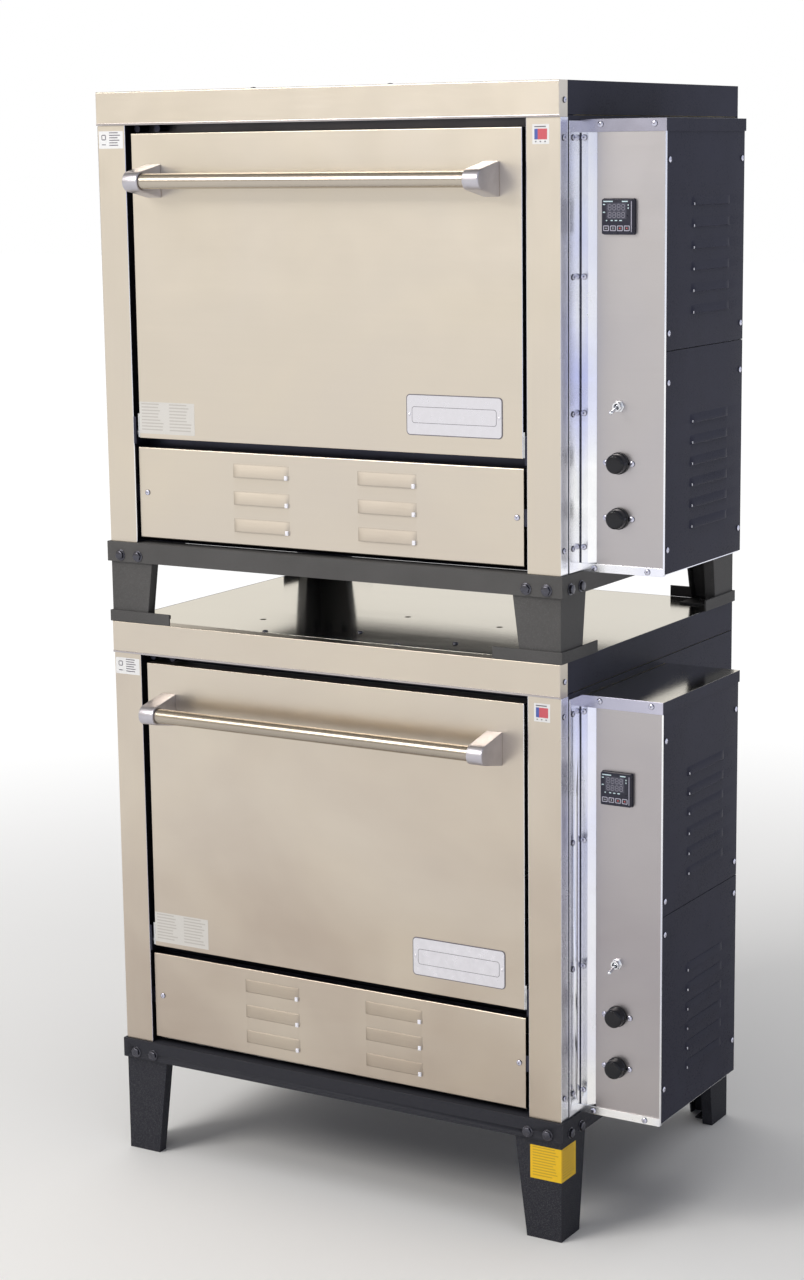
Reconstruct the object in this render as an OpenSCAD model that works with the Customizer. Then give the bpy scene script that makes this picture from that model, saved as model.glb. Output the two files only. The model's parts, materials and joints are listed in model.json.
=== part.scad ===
// Double-stacked electric deck oven.
// Two identical ovens stand one on the other. Each has a drop-down door, a kick
// panel, an angle-iron base on four legs, and a control box on its right side.
// Every solid is drawn in the frame of its own oven: x = 0 at the left face of the
// body, y = 0 at the front face of the corner posts, z = 0 at the foot of the lower
// legs. on_tier() then moves it so that the whole stack stands on its origin.

/* [Oven body] */
// Width of one oven body, without its control box
body_w = 762; // [700:1:840]
// Depth of one oven body, from the front posts to the rear panel
body_d = 578; // [540:1:640]
// Height of the body's roof above the foot of the lower legs
body_top = 841; // [835:1:870]
// Distance from one oven up to the same point on the next
stack_pitch = 783; // [775:1:815]
// Thickness of the body's sheet metal
sheet = 1.5; // [1:0.1:2]

/* [Base frame and legs] */
// Height of the underside of the frame above the floor
frame_z = 150; // [120:1:160]
// Height of the angle iron
frame_h = 30; // [25:1:32]
// Thickness of the angle iron
frame_t = 4; // [3:0.5:5]
// Width of a leg's face at its top
leg_top_w = 75; // [70:1:90]
// Width of a leg's face at the floor
leg_foot_w = 56; // [45:1:65]
// Length of each side of a leg cup
cup_l = 106; // [95:1:120]
// Height of a leg cup's rim above the roof it stands on
cup_h = 17; // [10:1:25]

/* [Front] */
// Width of the left corner post
post_l_w = 49; // [40:1:52]
// Width of the right corner post
post_r_w = 52; // [40:1:54]
// Height of the stainless cap band
cap_h = 48; // [40:1:52]
// Left edge of the door
door_x0 = 60; // [58:1:64]
// Right edge of the door
door_x1 = 704; // [690:1:704]
// Bottom edge of the door
door_z0 = 338; // [336:1:340]
// Top edge of the door
door_z1 = 781; // [770:1:782]
// Thickness of the door
door_t = 35.6; // [30:0.1:36]
// Widest angle the door opens to
door_open = 90; // [60:1:90]
// Bottom edge of the kick panel
kick_z0 = 188; // [184:1:195]
// Top edge of the kick panel
kick_z1 = 324; // [300:1:326]

/* [Handle] */
// Outer radius of the handle tube
tube_r = 11; // [9:0.5:12]
// Distance of the handle tube's axis from the face of the door
tube_reach = 46; // [40:1:60]
// Height of the handle tube's axis
tube_z = 713; // [690:1:720]

/* [Control box] */
// Width of the control box
box_w = 127; // [120:1:150]
// Front face of the control box
box_y0 = 55; // [45:1:65]
// Rear face of the control box
box_y1 = 312; // [300:1:340]
// Bottom of the control box
box_z0 = 181; // [181:1:190]
// Top of the control box's lid
box_z1 = 790; // [786:1:792]

/* [Baking chamber] */
// Width of the baking chamber
chamber_w = 624; // [600:1:626]
// Depth of the baking chamber
chamber_d = 500; // [480:1:510]
// Floor of the baking chamber
chamber_z0 = 350; // [348:1:352]
// Roof of the baking chamber
chamber_z1 = 772; // [760:1:773]
// Undersides of the two hearth decks
deck_z = [398, 586];
// Thickness of a hearth deck
deck_t = 12; // [8:1:16]

/* [Hidden] */
$fn = 48;

// Gap left between sheets that are spot-welded or screwed together
seam = 0.2;
// Running clearance of a pin or shaft in its hole, on the radius
run = 0.05;

// Colours
stainless = [0.78, 0.74, 0.68];
bright = [0.86, 0.87, 0.90];
black_paint = [0.13, 0.13, 0.14];
roof_metal = [0.80, 0.78, 0.74];
liner_metal = [0.55, 0.55, 0.56];
wool = [0.86, 0.80, 0.62];
hearth = [0.70, 0.66, 0.60];
dark_plastic = [0.07, 0.07, 0.08];
chrome = [0.85, 0.86, 0.88];

// Base frame
frame_out = frame_t;
frame_top = frame_z + frame_h;
body_z0 = frame_top + seam;

// Legs
leg_t = 3;
leg_top = frame_top - frame_t;
leg_taper = (leg_top_w - leg_foot_w) / frame_z;
leg_lip = 14;
foot_plate = 38;
foot_hole_r = 5.5;
foot_hole_in = 28;
cup_t = 3;
cup_base = leg_foot_w + 6;
roof_below = body_top - stack_pitch;
leg_foot = [0, roof_below + cup_t];

// Frame bolts
bolt_r = 4;
bolt_hole_r = 4.2;
bolt_head_r = 7;
bolt_head_h = 5;
bolt_z = 160;
bolt_in = [20, 52];

// Screws
screw_r = 1.9;
screw_hole_r = 2;
screw_head_r = 4.2;
screw_l = 3;

// Ways a screw or bolt can face
to_front = [90, 0, 0];
to_back = [-90, 0, 0];
to_left = [0, -90, 0];
to_right = [0, 90, 0];
to_top = [0, 0, 0];

// Front of the body
cap_z0 = body_top - cap_h;
cap_out = 3;
cap_return = 20;
vent_r = 5;
post_return = 21;
post_in_x0 = post_l_w;
post_in_x1 = body_w - post_r_w;

// Chamber
chamber_x0 = (body_w - chamber_w) / 2;
chamber_x1 = chamber_x0 + chamber_w;
chamber_y0 = 38.2;
chamber_y1 = chamber_y0 + sheet + chamber_d;
pan_z0 = 286.5;
wool_z1 = body_top - 5;
wool_y1 = body_d - 4;
deck_w = chamber_w - 3;
deck_y0 = 44;
deck_y1 = 538;
rail_w = 20;

// Kick panel
kick_x0 = 53;
kick_x1 = 701.5;
kick_y = 6;
kick_t = 1.2;
kick_return = 16;
// The floor sheet of the body starts behind the foot of the kick panel
bottom_y0 = kick_y + kick_return + 4;
kick_screw_z = 256;
kick_screw_in = 14;
kick_louver_x = [222, 435];
kick_louver_l = 97;
kick_louver_z = 207;
kick_louver_pitch = 40;
kick_louver_h = 20;
kick_louver_out = 7;

// Door
skin_t = 1.2;
hinge_y = 8;
hinge_z = 345;
pin_r = 5;
arm_t = [3, 2.5];
arm_depth = 29;
arm_h = 36;
bearing_t = [4, 3];
catch_r = 5;
catch_z = door_z1 + 7;
catch_x = [60, 96];

// Handle
tube_wall = 1.5;
bracket_w = [26, 25];
bracket_x = [86, 645];
bracket_nose_r = 14.5;
bracket_nose_n = 28;
bracket_foot = 48;
bracket_wall = 6;

// Nameplate
plate_x = [521, 673];
plate_z = [363, 420];
plate_t = 1.2;
plate_corner = 6;
rivet_r = 2.2;
rivet_in = 5;

// Control box
box_x0 = body_w + 0.1;
box_x1 = body_w + box_w;
box_flange_y = 23;
panel_x0 = body_w + 26;
panel_t = 1.2;
panel_return = 4;
lid_lip = 17;
tray_lip = 11;
side_seam_z = 484.2;
box_screw_z = [766, 582, 398, 214];
side_louver_z = [[236, 529], [238, 525]];
side_louver_n = 6;
side_louver_pitch = 29;
side_louver_y = 137;
side_louver_l = 125;
side_louver_h = 13;
side_louver_out = 6;
side_screw_z = [[736, 508, 442, 216], [734, 506, 458, 232]];
side_screw_y = [66, 303];
duct_r = 6;

// Controls, all centred on one line down the panel
dial_x = body_w + 60;
controller_z = 662;
controller_w = 48;
controller_body_w = 45;
controller_bezel = 8;
controller_depth = 75;
key_w = 8.4;
key_h = 7.2;
key_gap = 0.2;
key_proud = 0.4;
key_t = 2;
key_travel = 0.5;
key_z = controller_z - controller_w / 2 + 8.7;
key_x = [for (i = [0:3]) dial_x - 16.3 + i * 10.2];
toggle_z = 409;
toggle_pivot_y = box_y0 - 3.5;
toggle_tilt = 17;
toggle_l = 22;
toggle_bore_r = 4.2;
toggle_pin_r = 1.2;
knob_z = [256.5, 332];
knob_r = 15;
knob_h = 16;
knob_gap = 1;
spindle_r = 3;
spindle_l = 16;
knob_screw_in = 19.6;

// Heating elements, as the corners of the sheathed tube's path in plan
element_r = 4;
element_bend = 25;
element_z = [372, 760];
lead_x = body_w + 16;
lead_y = [200, 260];
element_path = [
  [lead_x, lead_y[0]], [665, lead_y[0]], [665, 80], [110, 80], [110, 170],
  [600, 170], [600, 270], [110, 270], [110, 370], [600, 370],
  [600, 470], [665, 470], [665, lead_y[1]], [lead_x, lead_y[1]]
];
probe_r = 2.4;
probe_tip_x = chamber_x1 - 17;
probe_y = 130;
probe_z = 700;

// Cable gland
gland_x = body_w + 64;
gland_z = 215;
gland_bore_r = 7.5;
gland_thread_r = 10;
gland_nut_r = 14;
gland_out = 24;
gland_in = 12;

// The stack's own box, which sets the origin at the centre of its foot
stack_x0 = -frame_out - bolt_head_h;
stack_x1 = box_x1 + side_louver_out;
stack_y0 = -tube_reach - bracket_nose_r;
stack_y1 = body_d + frame_out + bolt_head_h;
centre_x = (stack_x0 + stack_x1) / 2;
centre_y = (stack_y0 + stack_y1) / 2;

// ---------------------------------------------------------------- helpers

// Puts a solid of one oven where that oven stands: tier 0 below, tier 1 above
module on_tier(tier)
  translate([-centre_x, -centre_y, tier * stack_pitch]) children();

module both_tiers() {
  for (tier = [0, 1])
    on_tier(tier) children();
}

// A block given by its lowest and highest corner
module block(x, y, z)
  translate([x[0], y[0], z[0]]) cube([x[1] - x[0], y[1] - y[0], z[1] - z[0]]);

// A rod between two places along one axis
module rod_x(x, y, z, r)
  translate([x[0], y, z]) rotate([0, 90, 0]) cylinder(r = r, h = x[1] - x[0]);

module rod_y(x, y, z, r)
  translate([x, y[1], z]) rotate([90, 0, 0]) cylinder(r = r, h = y[1] - y[0]);

// Pan-head screw standing on the face at "at", with its head facing "way"
module screw(at, way)
  translate(at) rotate(way)
    rotate_extrude($fn = 24)
      polygon([
        [0, -screw_l], [screw_r, -screw_l], [screw_r, 0], [screw_head_r, 0],
        [screw_head_r, 0.9], [screw_head_r * 0.8, 1.8], [screw_head_r * 0.4, 2.2], [0, 2.2]
      ]);

module screw_hole(at, way)
  translate(at) rotate(way)
    translate([0, 0, -screw_l - 1]) cylinder(r = screw_hole_r, h = screw_l + 3, $fn = 24);

// Screws and their holes, from a list of [place, way]
module screws(list) {
  for (s = list)
    screw(s[0], s[1]);
}

module screw_holes(list) {
  for (s = list)
    screw_hole(s[0], s[1]);
}

// Hooded louver with closed ends, running along x and standing out towards -y
module louver_hood(length, height, out, t)
  rotate([90, 0, 90]) {
    linear_extrude(length)
      polygon([
        [0, height], [-out * 0.75, height * 0.45], [-out, height * 0.12], [-out, 0],
        [-out + t, 0], [-out + t, height * 0.1], [-out * 0.75 + t, height * 0.38],
        [0, height - 2 * t]
      ]);
    for (at = [0, length - t])
      translate([0, 0, at])
        linear_extrude(t)
          polygon([
            [0, height], [-out * 0.75, height * 0.45], [-out, height * 0.12], [-out, 0],
            [0, 0]
          ]);
  }

// The slot behind a louver's hood
module louver_slot(length, height, t)
  translate([t, -1, 0]) cube([length - 2 * t, 4, height * 0.7]);

// Where the louvers stand on the kick panel
kick_louvers = [
  for (x = kick_louver_x, i = [0:2]) [x, kick_y, kick_louver_z + i * kick_louver_pitch]
];

// ---------------------------------------------------------------- fastener places

cap_screws = [
  for (side = [0, 1])
    [[side * body_w, 11, cap_z0 + 22], side == 0 ? to_left : to_right]
];
post_screws = [
  for (side = [0, 1], z = [box_screw_z[0], box_screw_z[3]])
    [[side * body_w, 9, z], side == 0 ? to_left : to_right]
];
box_flange_screws = [for (z = box_screw_z) [[box_x0 + sheet, 33, z], to_right]];
box_front_screws = [for (z = box_screw_z) [[body_w + 7, box_y0, z], to_front]];
lid_screws = [for (x = [32, 111]) [[body_w + x, box_y0 - 1.4, box_z1 - 7], to_front]];
tray_screws = [for (x = [24, 104]) [[body_w + x, box_y0 - sheet, box_z0 + 5], to_front]];
kick_screws = [
  for (x = [kick_x0 + kick_screw_in, kick_x1 - kick_screw_in + 4])
    [[x, kick_y, kick_screw_z], to_front]
];
knob_screws = [
  for (z = knob_z, x = [-knob_screw_in, knob_screw_in])
    [[dial_x + x, box_y0, z], to_front]
];
roof_screws = [
  for (p = [[258, 27], [485, 27], [387, 84], [555, 71]]) [[p[0], p[1], body_top], to_top]
];
rear_screws = [
  for (x = [18, body_w / 2, body_w - 18], z = [200, 410, 620, 826])
    [[x, body_d, z], to_back]
];
function side_screws(tier) = [
  for (z = side_screw_z[1 - tier], y = side_screw_y) [[box_x1, y, z], to_right]
];

// The frame bolts: two through each face of each leg
frame_bolts = concat(
  [for (x = bolt_in, mx = [0, 1], my = [0, 1])
    [[mx == 0 ? x : body_w - x, my == 0 ? -frame_out : body_d + frame_out, bolt_z],
      my == 0 ? to_front : to_back]],
  [for (y = bolt_in, mx = [0, 1], my = [0, 1])
    [[mx == 0 ? -frame_out : body_w + frame_out, my == 0 ? y : body_d - y, bolt_z],
      mx == 0 ? to_left : to_right]]
);

module bolt_holes() {
  for (b = frame_bolts)
    translate(b[0]) rotate(b[1])
      translate([0, 0, -frame_t - leg_t - 2]) cylinder(r = bolt_hole_r, h = 12);
}

module bolts() {
  for (b = frame_bolts)
    translate(b[0]) rotate(b[1]) {
      cylinder(r = bolt_head_r, h = bolt_head_h, $fn = 6);
      translate([0, 0, -frame_t - leg_t - 6]) cylinder(r = bolt_r, h = frame_t + leg_t + 6);
      translate([0, 0, -frame_t - leg_t - 5]) cylinder(r = bolt_head_r, h = 5, $fn = 6);
    }
}

// ---------------------------------------------------------------- base

// Four rails of angle iron, mitre-free: the front and rear ones run the full width
module base_frame(tier)
  color(black_paint)
    on_tier(tier)
      difference() {
        union() {
          for (end = [0, 1])
            translate([0, end * body_d, 0])
              mirror([0, end, 0]) {
                block([-frame_out, body_w + frame_out], [-frame_out, 0], [frame_z, frame_top]);
                block([-frame_out, body_w + frame_out], [-frame_out, frame_h - frame_t],
                  [frame_top - frame_t, frame_top]);
              }
          for (side = [0, 1])
            translate([side * body_w, 0, 0])
              mirror([side, 0, 0]) {
                block([-frame_out, 0], [seam, body_d - seam], [frame_z, leg_top + 1]);
                block([-frame_out, frame_h - frame_t],
                  [frame_h - frame_t + seam, body_d - frame_h + frame_t - seam],
                  [leg_top + seam, frame_top]);
              }
        }
        bolt_holes();
      }

// One leg in its own corner: two tapered faces, stiffening lips and a foot plate
function leg_w(z) = min(leg_top_w, leg_top_w - (frame_z - z) * leg_taper);

module leg_face(foot) {
  foot_w = leg_w(foot);
  rotate([90, 0, 0]) {
    translate([0, 0, -leg_t])
      linear_extrude(leg_t)
        polygon([
          [0, foot], [foot_w, foot], [leg_top_w, frame_z], [leg_top_w, leg_top], [0, leg_top]
        ]);
    translate([0, 0, -leg_t - leg_lip])
      linear_extrude(leg_lip)
        polygon([
          [foot_w - leg_t, foot], [foot_w, foot], [leg_top_w, frame_z],
          [leg_top_w, leg_top], [leg_top_w - leg_t, leg_top], [leg_top_w - leg_t, frame_z]
        ]);
  }
}

module leg(foot)
  difference() {
    union() {
      leg_face(foot);
      mirror([1, -1, 0]) leg_face(foot);
      block([0, foot_plate], [0, foot_plate], [foot, foot + leg_t]);
    }
    translate([foot_hole_in, foot_hole_in, foot - 1]) cylinder(r = foot_hole_r, h = leg_t + 2);
  }

// Repeats a corner's solid at the four corners of a body
module at_corners() {
  for (mx = [0, 1], my = [0, 1])
    translate([mx * body_w, my * body_d, 0])
      mirror([mx, 0, 0])
        mirror([0, my, 0])
          children();
}

module legs()
  color(black_paint)
    for (tier = [0, 1])
      on_tier(tier)
        difference() {
          at_corners() leg(leg_foot[tier]);
          bolt_holes();
        }

// Angle cups on the lower roof, each a base under one leg of the upper oven with two longer lips
module leg_cups()
  color(black_paint)
    on_tier(1)
      at_corners() {
        block([-cup_t - seam, cup_base], [-cup_t - seam, cup_base],
          [roof_below, roof_below + cup_t]);
        block([-cup_t - seam, cup_l], [-cup_t - seam, -seam], [roof_below, roof_below + cup_h]);
        block([-cup_t - seam, -seam], [-cup_t - seam, cup_l], [roof_below, roof_below + cup_h]);
      }

// ---------------------------------------------------------------- body shell

// Folded corner posts, with a tab behind each end of the kick panel
module corner_posts()
  color(stainless)
    both_tiers()
      difference() {
        union() {
          block([0, post_in_x0], [0, sheet], [body_z0, cap_z0 - seam]);
          block([0, sheet], [0, post_return], [body_z0, cap_z0 - seam]);
          block([post_in_x0 - sheet, post_in_x0], [0, chamber_y0 - seam],
            [body_z0, cap_z0 - seam]);
          block([post_in_x0 - sheet, kick_x0 + 30], [kick_y + kick_t, kick_y + kick_t + sheet],
            [kick_screw_z - 12, kick_screw_z + 12]);
          block([post_in_x1, body_w], [0, sheet], [body_z0, cap_z0 - seam]);
          block([body_w - sheet, body_w], [0, post_return], [body_z0, cap_z0 - seam]);
          block([post_in_x1, post_in_x1 + sheet], [0, chamber_y0 - seam],
            [body_z0, cap_z0 - seam]);
          block([kick_x1 - 26, post_in_x1 + sheet], [kick_y + kick_t, kick_y + kick_t + sheet],
            [kick_screw_z - 12, kick_screw_z + 12]);
        }
        screw_holes(post_screws);
        screw_holes(kick_screws);
      }

// Band across the top of the front, returned round both corners and onto the roof
module cap_trim(tier)
  color(stainless)
    on_tier(tier)
      difference() {
        union() {
          block([0, body_w], [-cap_out, -cap_out + sheet], [cap_z0, body_top]);
          block([0, body_w], [-cap_out, cap_return], [body_top - sheet, body_top]);
          block([0, sheet], [-cap_out, cap_return], [cap_z0, body_top]);
          block([body_w - sheet, body_w], [-cap_out, cap_return], [cap_z0, body_top]);
          block([0, body_w], [-cap_out, 6], [cap_z0, cap_z0 + sheet]);
        }
        screw_holes(cap_screws);
      }

// Roof sheet with its vent holes
module top_cover(tier)
  color(roof_metal)
    on_tier(tier)
      difference() {
        block([sheet + seam, body_w - sheet - seam], [cap_return + seam, body_d - sheet - seam],
          [body_top - sheet, body_top]);
        for (p = [[199, 110], [384, 227], [549, 214]])
          translate([p[0], p[1], body_top - vent_r]) cylinder(r = vent_r, h = 2 * vent_r);
        screw_holes(roof_screws);
      }

// Side walls, each with the separate band that carries the roof
module side_panels()
  color(black_paint)
    both_tiers()
      difference() {
        for (side = [0, 1])
          translate([side * (body_w - sheet), 0, 0]) {
            block([0, sheet], [post_return + seam, body_d - sheet - seam],
              [body_z0, cap_z0 + 2]);
            block([0, sheet], [cap_return + seam, body_d - sheet - seam],
              [cap_z0 + 3, body_top]);
          }
        box_ducts();
        screw_holes(box_flange_screws);
      }

// Holes for the element leads and the thermocouple between chamber and control box
module box_ducts() {
  for (z = element_z, y = lead_y)
    rod_x([chamber_x1 - 5, box_x0 + 5], y, z, duct_r);
  rod_x([chamber_x1 - 5, box_x0 + 5], probe_y, probe_z, duct_r);
}

// Rear wall with the floor sheet folded from it, which runs forward between the posts
module rear_and_bottom_panels()
  color(black_paint)
    both_tiers()
      difference() {
        union() {
          block([0, body_w], [body_d - sheet, body_d], [body_z0, body_top]);
          block([sheet + seam, body_w - sheet - seam], [chamber_y0 + seam, body_d - sheet],
            [body_z0, body_z0 + sheet]);
          block([post_in_x0 + seam, post_in_x1 - seam], [bottom_y0, chamber_y0 + seam],
            [body_z0, body_z0 + sheet]);
        }
        screw_holes(rear_screws);
      }

// Kick panel with two columns of louvers
module kick_panel(tier)
  color(stainless)
    on_tier(tier)
      difference() {
        union() {
          block([kick_x0, kick_x1], [kick_y, kick_y + kick_t], [kick_z0, kick_z1]);
          block([kick_x0, kick_x1], [kick_y, kick_y + kick_return], [kick_z1 - kick_t, kick_z1]);
          block([kick_x0, kick_x1], [kick_y, kick_y + kick_return], [kick_z0, kick_z0 + kick_t]);
          for (p = kick_louvers)
            translate(p) louver_hood(kick_louver_l, kick_louver_h, kick_louver_out, kick_t);
        }
        for (p = kick_louvers)
          translate(p) louver_slot(kick_louver_l, kick_louver_h, kick_t);
        screw_holes(kick_screws);
      }

// ---------------------------------------------------------------- baking chamber

// Five liner sheets, the facing frame behind the door and the pan that carries them
module baking_chamber(tier)
  color(liner_metal)
    on_tier(tier)
      difference() {
        union() {
          // facing frame: two uprights with a head and a sill between them
          for (x = [[sheet + seam, chamber_x0], [chamber_x1, body_w - sheet - seam]])
            block(x, [chamber_y0, chamber_y0 + sheet], [pan_z0 + 2 * sheet, wool_z1]);
          for (z = [[pan_z0 + 2 * sheet, chamber_z0], [chamber_z1, wool_z1]])
            block([chamber_x0 + seam, chamber_x1 - seam], [chamber_y0, chamber_y0 + sheet], z);
          // side walls
          for (x = [chamber_x0 - sheet, chamber_x1])
            block([x, x + sheet], [chamber_y0 + sheet + seam, chamber_y1],
              [chamber_z0 - sheet, chamber_z1 + sheet]);
          // floor and roof
          for (z = [chamber_z0 - sheet, chamber_z1])
            block([chamber_x0 + seam, chamber_x1 - seam],
              [chamber_y0 + sheet + seam, chamber_y1], [z, z + sheet]);
          // back wall
          block([chamber_x0 - sheet, chamber_x1 + sheet], [chamber_y1 + seam, chamber_y1 + sheet],
            [chamber_z0 - sheet, chamber_z1 + sheet]);
          // pan under the insulation
          block([sheet + seam, body_w - sheet - seam], [chamber_y0, body_d - sheet - seam],
            [pan_z0, pan_z0 + sheet]);
        }
        box_ducts();
      }

// Mineral-wool slabs round the chamber
module insulation()
  color(wool)
    both_tiers()
      difference() {
        union() {
          for (x = [[2, chamber_x0 - 2], [chamber_x1 + 2, body_w - 2]])
            block(x, [chamber_y0 + 2, wool_y1], [pan_z0 + 3, wool_z1]);
          for (z = [[pan_z0 + 3, chamber_z0 - 2], [chamber_z1 + 2, wool_z1]])
            block([chamber_x0 - 1.8, chamber_x1 + 1.8], [chamber_y0 + 2, wool_y1], z);
          block([chamber_x0 - 1.8, chamber_x1 + 1.8], [chamber_y1 + 2, wool_y1],
            [chamber_z0 - 1.8, chamber_z1 + 1.8]);
        }
        box_ducts();
      }

module hearth_decks()
  color(hearth)
    both_tiers()
      for (z = deck_z)
        block([(body_w - deck_w) / 2, (body_w + deck_w) / 2], [deck_y0, deck_y1],
          [z, z + deck_t]);

// Angle rails that the decks rest on
module deck_rails()
  color(liner_metal)
    both_tiers()
      for (z = deck_z, side = [0, 1])
        translate([side * body_w, 0, z - seam])
          mirror([side, 0, 0])
            translate([chamber_x0 + seam, 0, 0]) {
              block([0, rail_w], [deck_y0, deck_y1], [-sheet, 0]);
              block([0, sheet], [deck_y0, deck_y1], [-rail_w, 0]);
            }

// A tube that follows a path of right-angled corners in plan, rounded to one radius
function step_way(a, b) = (b - a) / norm(b - a);
function turn(a, b) = atan2(b[1] - a[1], b[0] - a[0]);

module tube_path(path, r, bend) {
  last = len(path) - 1;
  for (i = [0:last - 1]) {
    start = i == 0 ? 0 : bend;
    stop = i == last - 1 ? 0 : bend;
    length = norm(path[i + 1] - path[i]) - start - stop;
    translate(path[i] + step_way(path[i], path[i + 1]) * start)
      rotate([0, 0, turn(path[i], path[i + 1])])
        rotate([0, 90, 0])
          cylinder(r = r, h = length, $fn = 24);
  }
  for (i = [1:last - 1]) {
    before = step_way(path[i - 1], path[i]);
    after = step_way(path[i], path[i + 1]);
    left_turn = before[0] * after[1] - before[1] * after[0] > 0;
    centre = path[i] - before * bend + after * bend;
    // the quarter ring starts at the end of the run that comes in
    from = turn(centre, path[i] - before * bend) - (left_turn ? 0 : 90);
    translate(centre)
      rotate([0, 0, from])
        rotate_extrude(angle = 90, $fn = 48)
          translate([bend, 0]) circle(r = r, $fn = 24);
  }
}

module heating_elements()
  color([0.35, 0.33, 0.32])
    both_tiers()
      for (z = element_z)
        translate([0, 0, z]) tube_path(element_path, element_r, element_bend);

// Sheathed probe through the right wall, with its connection head in the control box
module thermocouples()
  color(bright)
    both_tiers() {
      rod_x([probe_tip_x, box_x0 + 12], probe_y, probe_z, probe_r);
      rod_x([box_x0 + 12, box_x0 + 32], probe_y, probe_z, 9);
    }

// ---------------------------------------------------------------- door

// Folded door skin
module door_skin(tier)
  color(stainless)
    on_tier(tier)
      difference() {
        block([door_x0, door_x1], [0, door_t - 1.6], [door_z0, door_z1]);
        block([door_x0 + skin_t, door_x1 - skin_t], [skin_t, door_t],
          [door_z0 + skin_t, door_z1 - skin_t]);
      }

module door_liner(tier)
  color(liner_metal)
    on_tier(tier)
      block([door_x0 + 0.5, door_x1 - 0.5], [door_t - 1.4, door_t],
        [door_z0 + 0.5, door_z1 - 0.5]);

module door_insulation(tier)
  color(wool)
    on_tier(tier)
      block([door_x0 + 2, door_x1 - 2], [skin_t + 0.5, door_t - 1.8],
        [door_z0 + 2, door_z1 - 2]);

// Arm plates on the door's ends, each with its hinge pin
module door_hinge_arms(tier)
  color(chrome)
    on_tier(tier) {
      block([door_x0 - arm_t[0], door_x0], [1, 1 + arm_depth], [door_z0 + 1, door_z0 + arm_h]);
      rod_x([post_in_x0 + 0.5, door_x0 - arm_t[0] + 1], hinge_y, hinge_z, pin_r);
      block([door_x1, door_x1 + arm_t[1]], [1, 1 + arm_depth], [door_z0 + 1, door_z0 + arm_h]);
      rod_x([door_x1 + arm_t[1] - 1, post_in_x1 - 0.5], hinge_y, hinge_z, pin_r);
    }

// Bearing plates on the posts for the hinge pins, and the plungers that catch the door
module door_hardware()
  color(chrome)
    both_tiers() {
      for (side = [0, 1]) {
        x0 = side == 0 ? post_in_x0 + seam : post_in_x1 - seam - bearing_t[1];
        difference() {
          block([x0, x0 + bearing_t[side]], [0, 24], [hinge_z - 16, hinge_z + 24]);
          rod_x([x0 - 1, x0 + bearing_t[side] + 1], hinge_y, hinge_z, pin_r + run);
        }
      }
      for (x = catch_x)
        rod_y(x, [16, chamber_y0], catch_z, catch_r);
    }

// Handle tube, carried at each end in a blind bore of its bracket
module handle_tube(tier)
  color(bright)
    on_tier(tier) {
      x = [bracket_x[0] + bracket_wall + seam, bracket_x[1] + bracket_w[1] - bracket_wall - seam];
      difference() {
        rod_x(x, -tube_reach, tube_z, tube_r);
        rod_x([x[0] - 1, x[1] + 1], -tube_reach, tube_z, tube_r - tube_wall);
      }
    }

// Side view of a bracket: a round nose run out to a tall foot by its two tangents
module bracket_outline() {
  half = bracket_foot / 2;
  touch = atan2(half, tube_reach) + acos(bracket_nose_r / norm([tube_reach, half]));
  polygon(concat(
    [[0, -half], [0, half]],
    [for (i = [0:bracket_nose_n])
      let (a = touch + (360 - 2 * touch) * i / bracket_nose_n)
        [-tube_reach + bracket_nose_r * cos(a), bracket_nose_r * sin(a)]]
  ));
}

module handle_brackets(tier)
  color([0.62, 0.62, 0.63])
    on_tier(tier)
      for (side = [0, 1])
        difference() {
          translate([bracket_x[side], 0, tube_z])
            rotate([90, 0, 90])
              linear_extrude(bracket_w[side]) bracket_outline();
          rod_x(
            side == 0
              ? [bracket_x[0] + bracket_wall, bracket_x[0] + bracket_w[0] + 1]
              : [bracket_x[1] - 1, bracket_x[1] + bracket_w[1] - bracket_wall],
            -tube_reach, tube_z, tube_r + run);
        }

// Blank plate with rounded corners and two rivets
module nameplate(tier)
  color(bright)
    on_tier(tier) {
      w = plate_x[1] - plate_x[0];
      h = plate_z[1] - plate_z[0];
      translate([plate_x[0], 0, plate_z[0]])
        rotate([90, 0, 0]) {
          linear_extrude(plate_t)
            union() {
              translate([plate_corner, 0]) square([w - 2 * plate_corner, h]);
              translate([0, plate_corner]) square([w, h - 2 * plate_corner]);
              for (x = [plate_corner, w - plate_corner], y = [plate_corner, h - plate_corner])
                translate([x, y]) circle(r = plate_corner);
            }
          for (x = [rivet_in, w - rivet_in])
            translate([x, h / 2, plate_t - 0.5]) cylinder(r = rivet_r, h = 1.3);
        }
    }

// ---------------------------------------------------------------- control box

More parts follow.
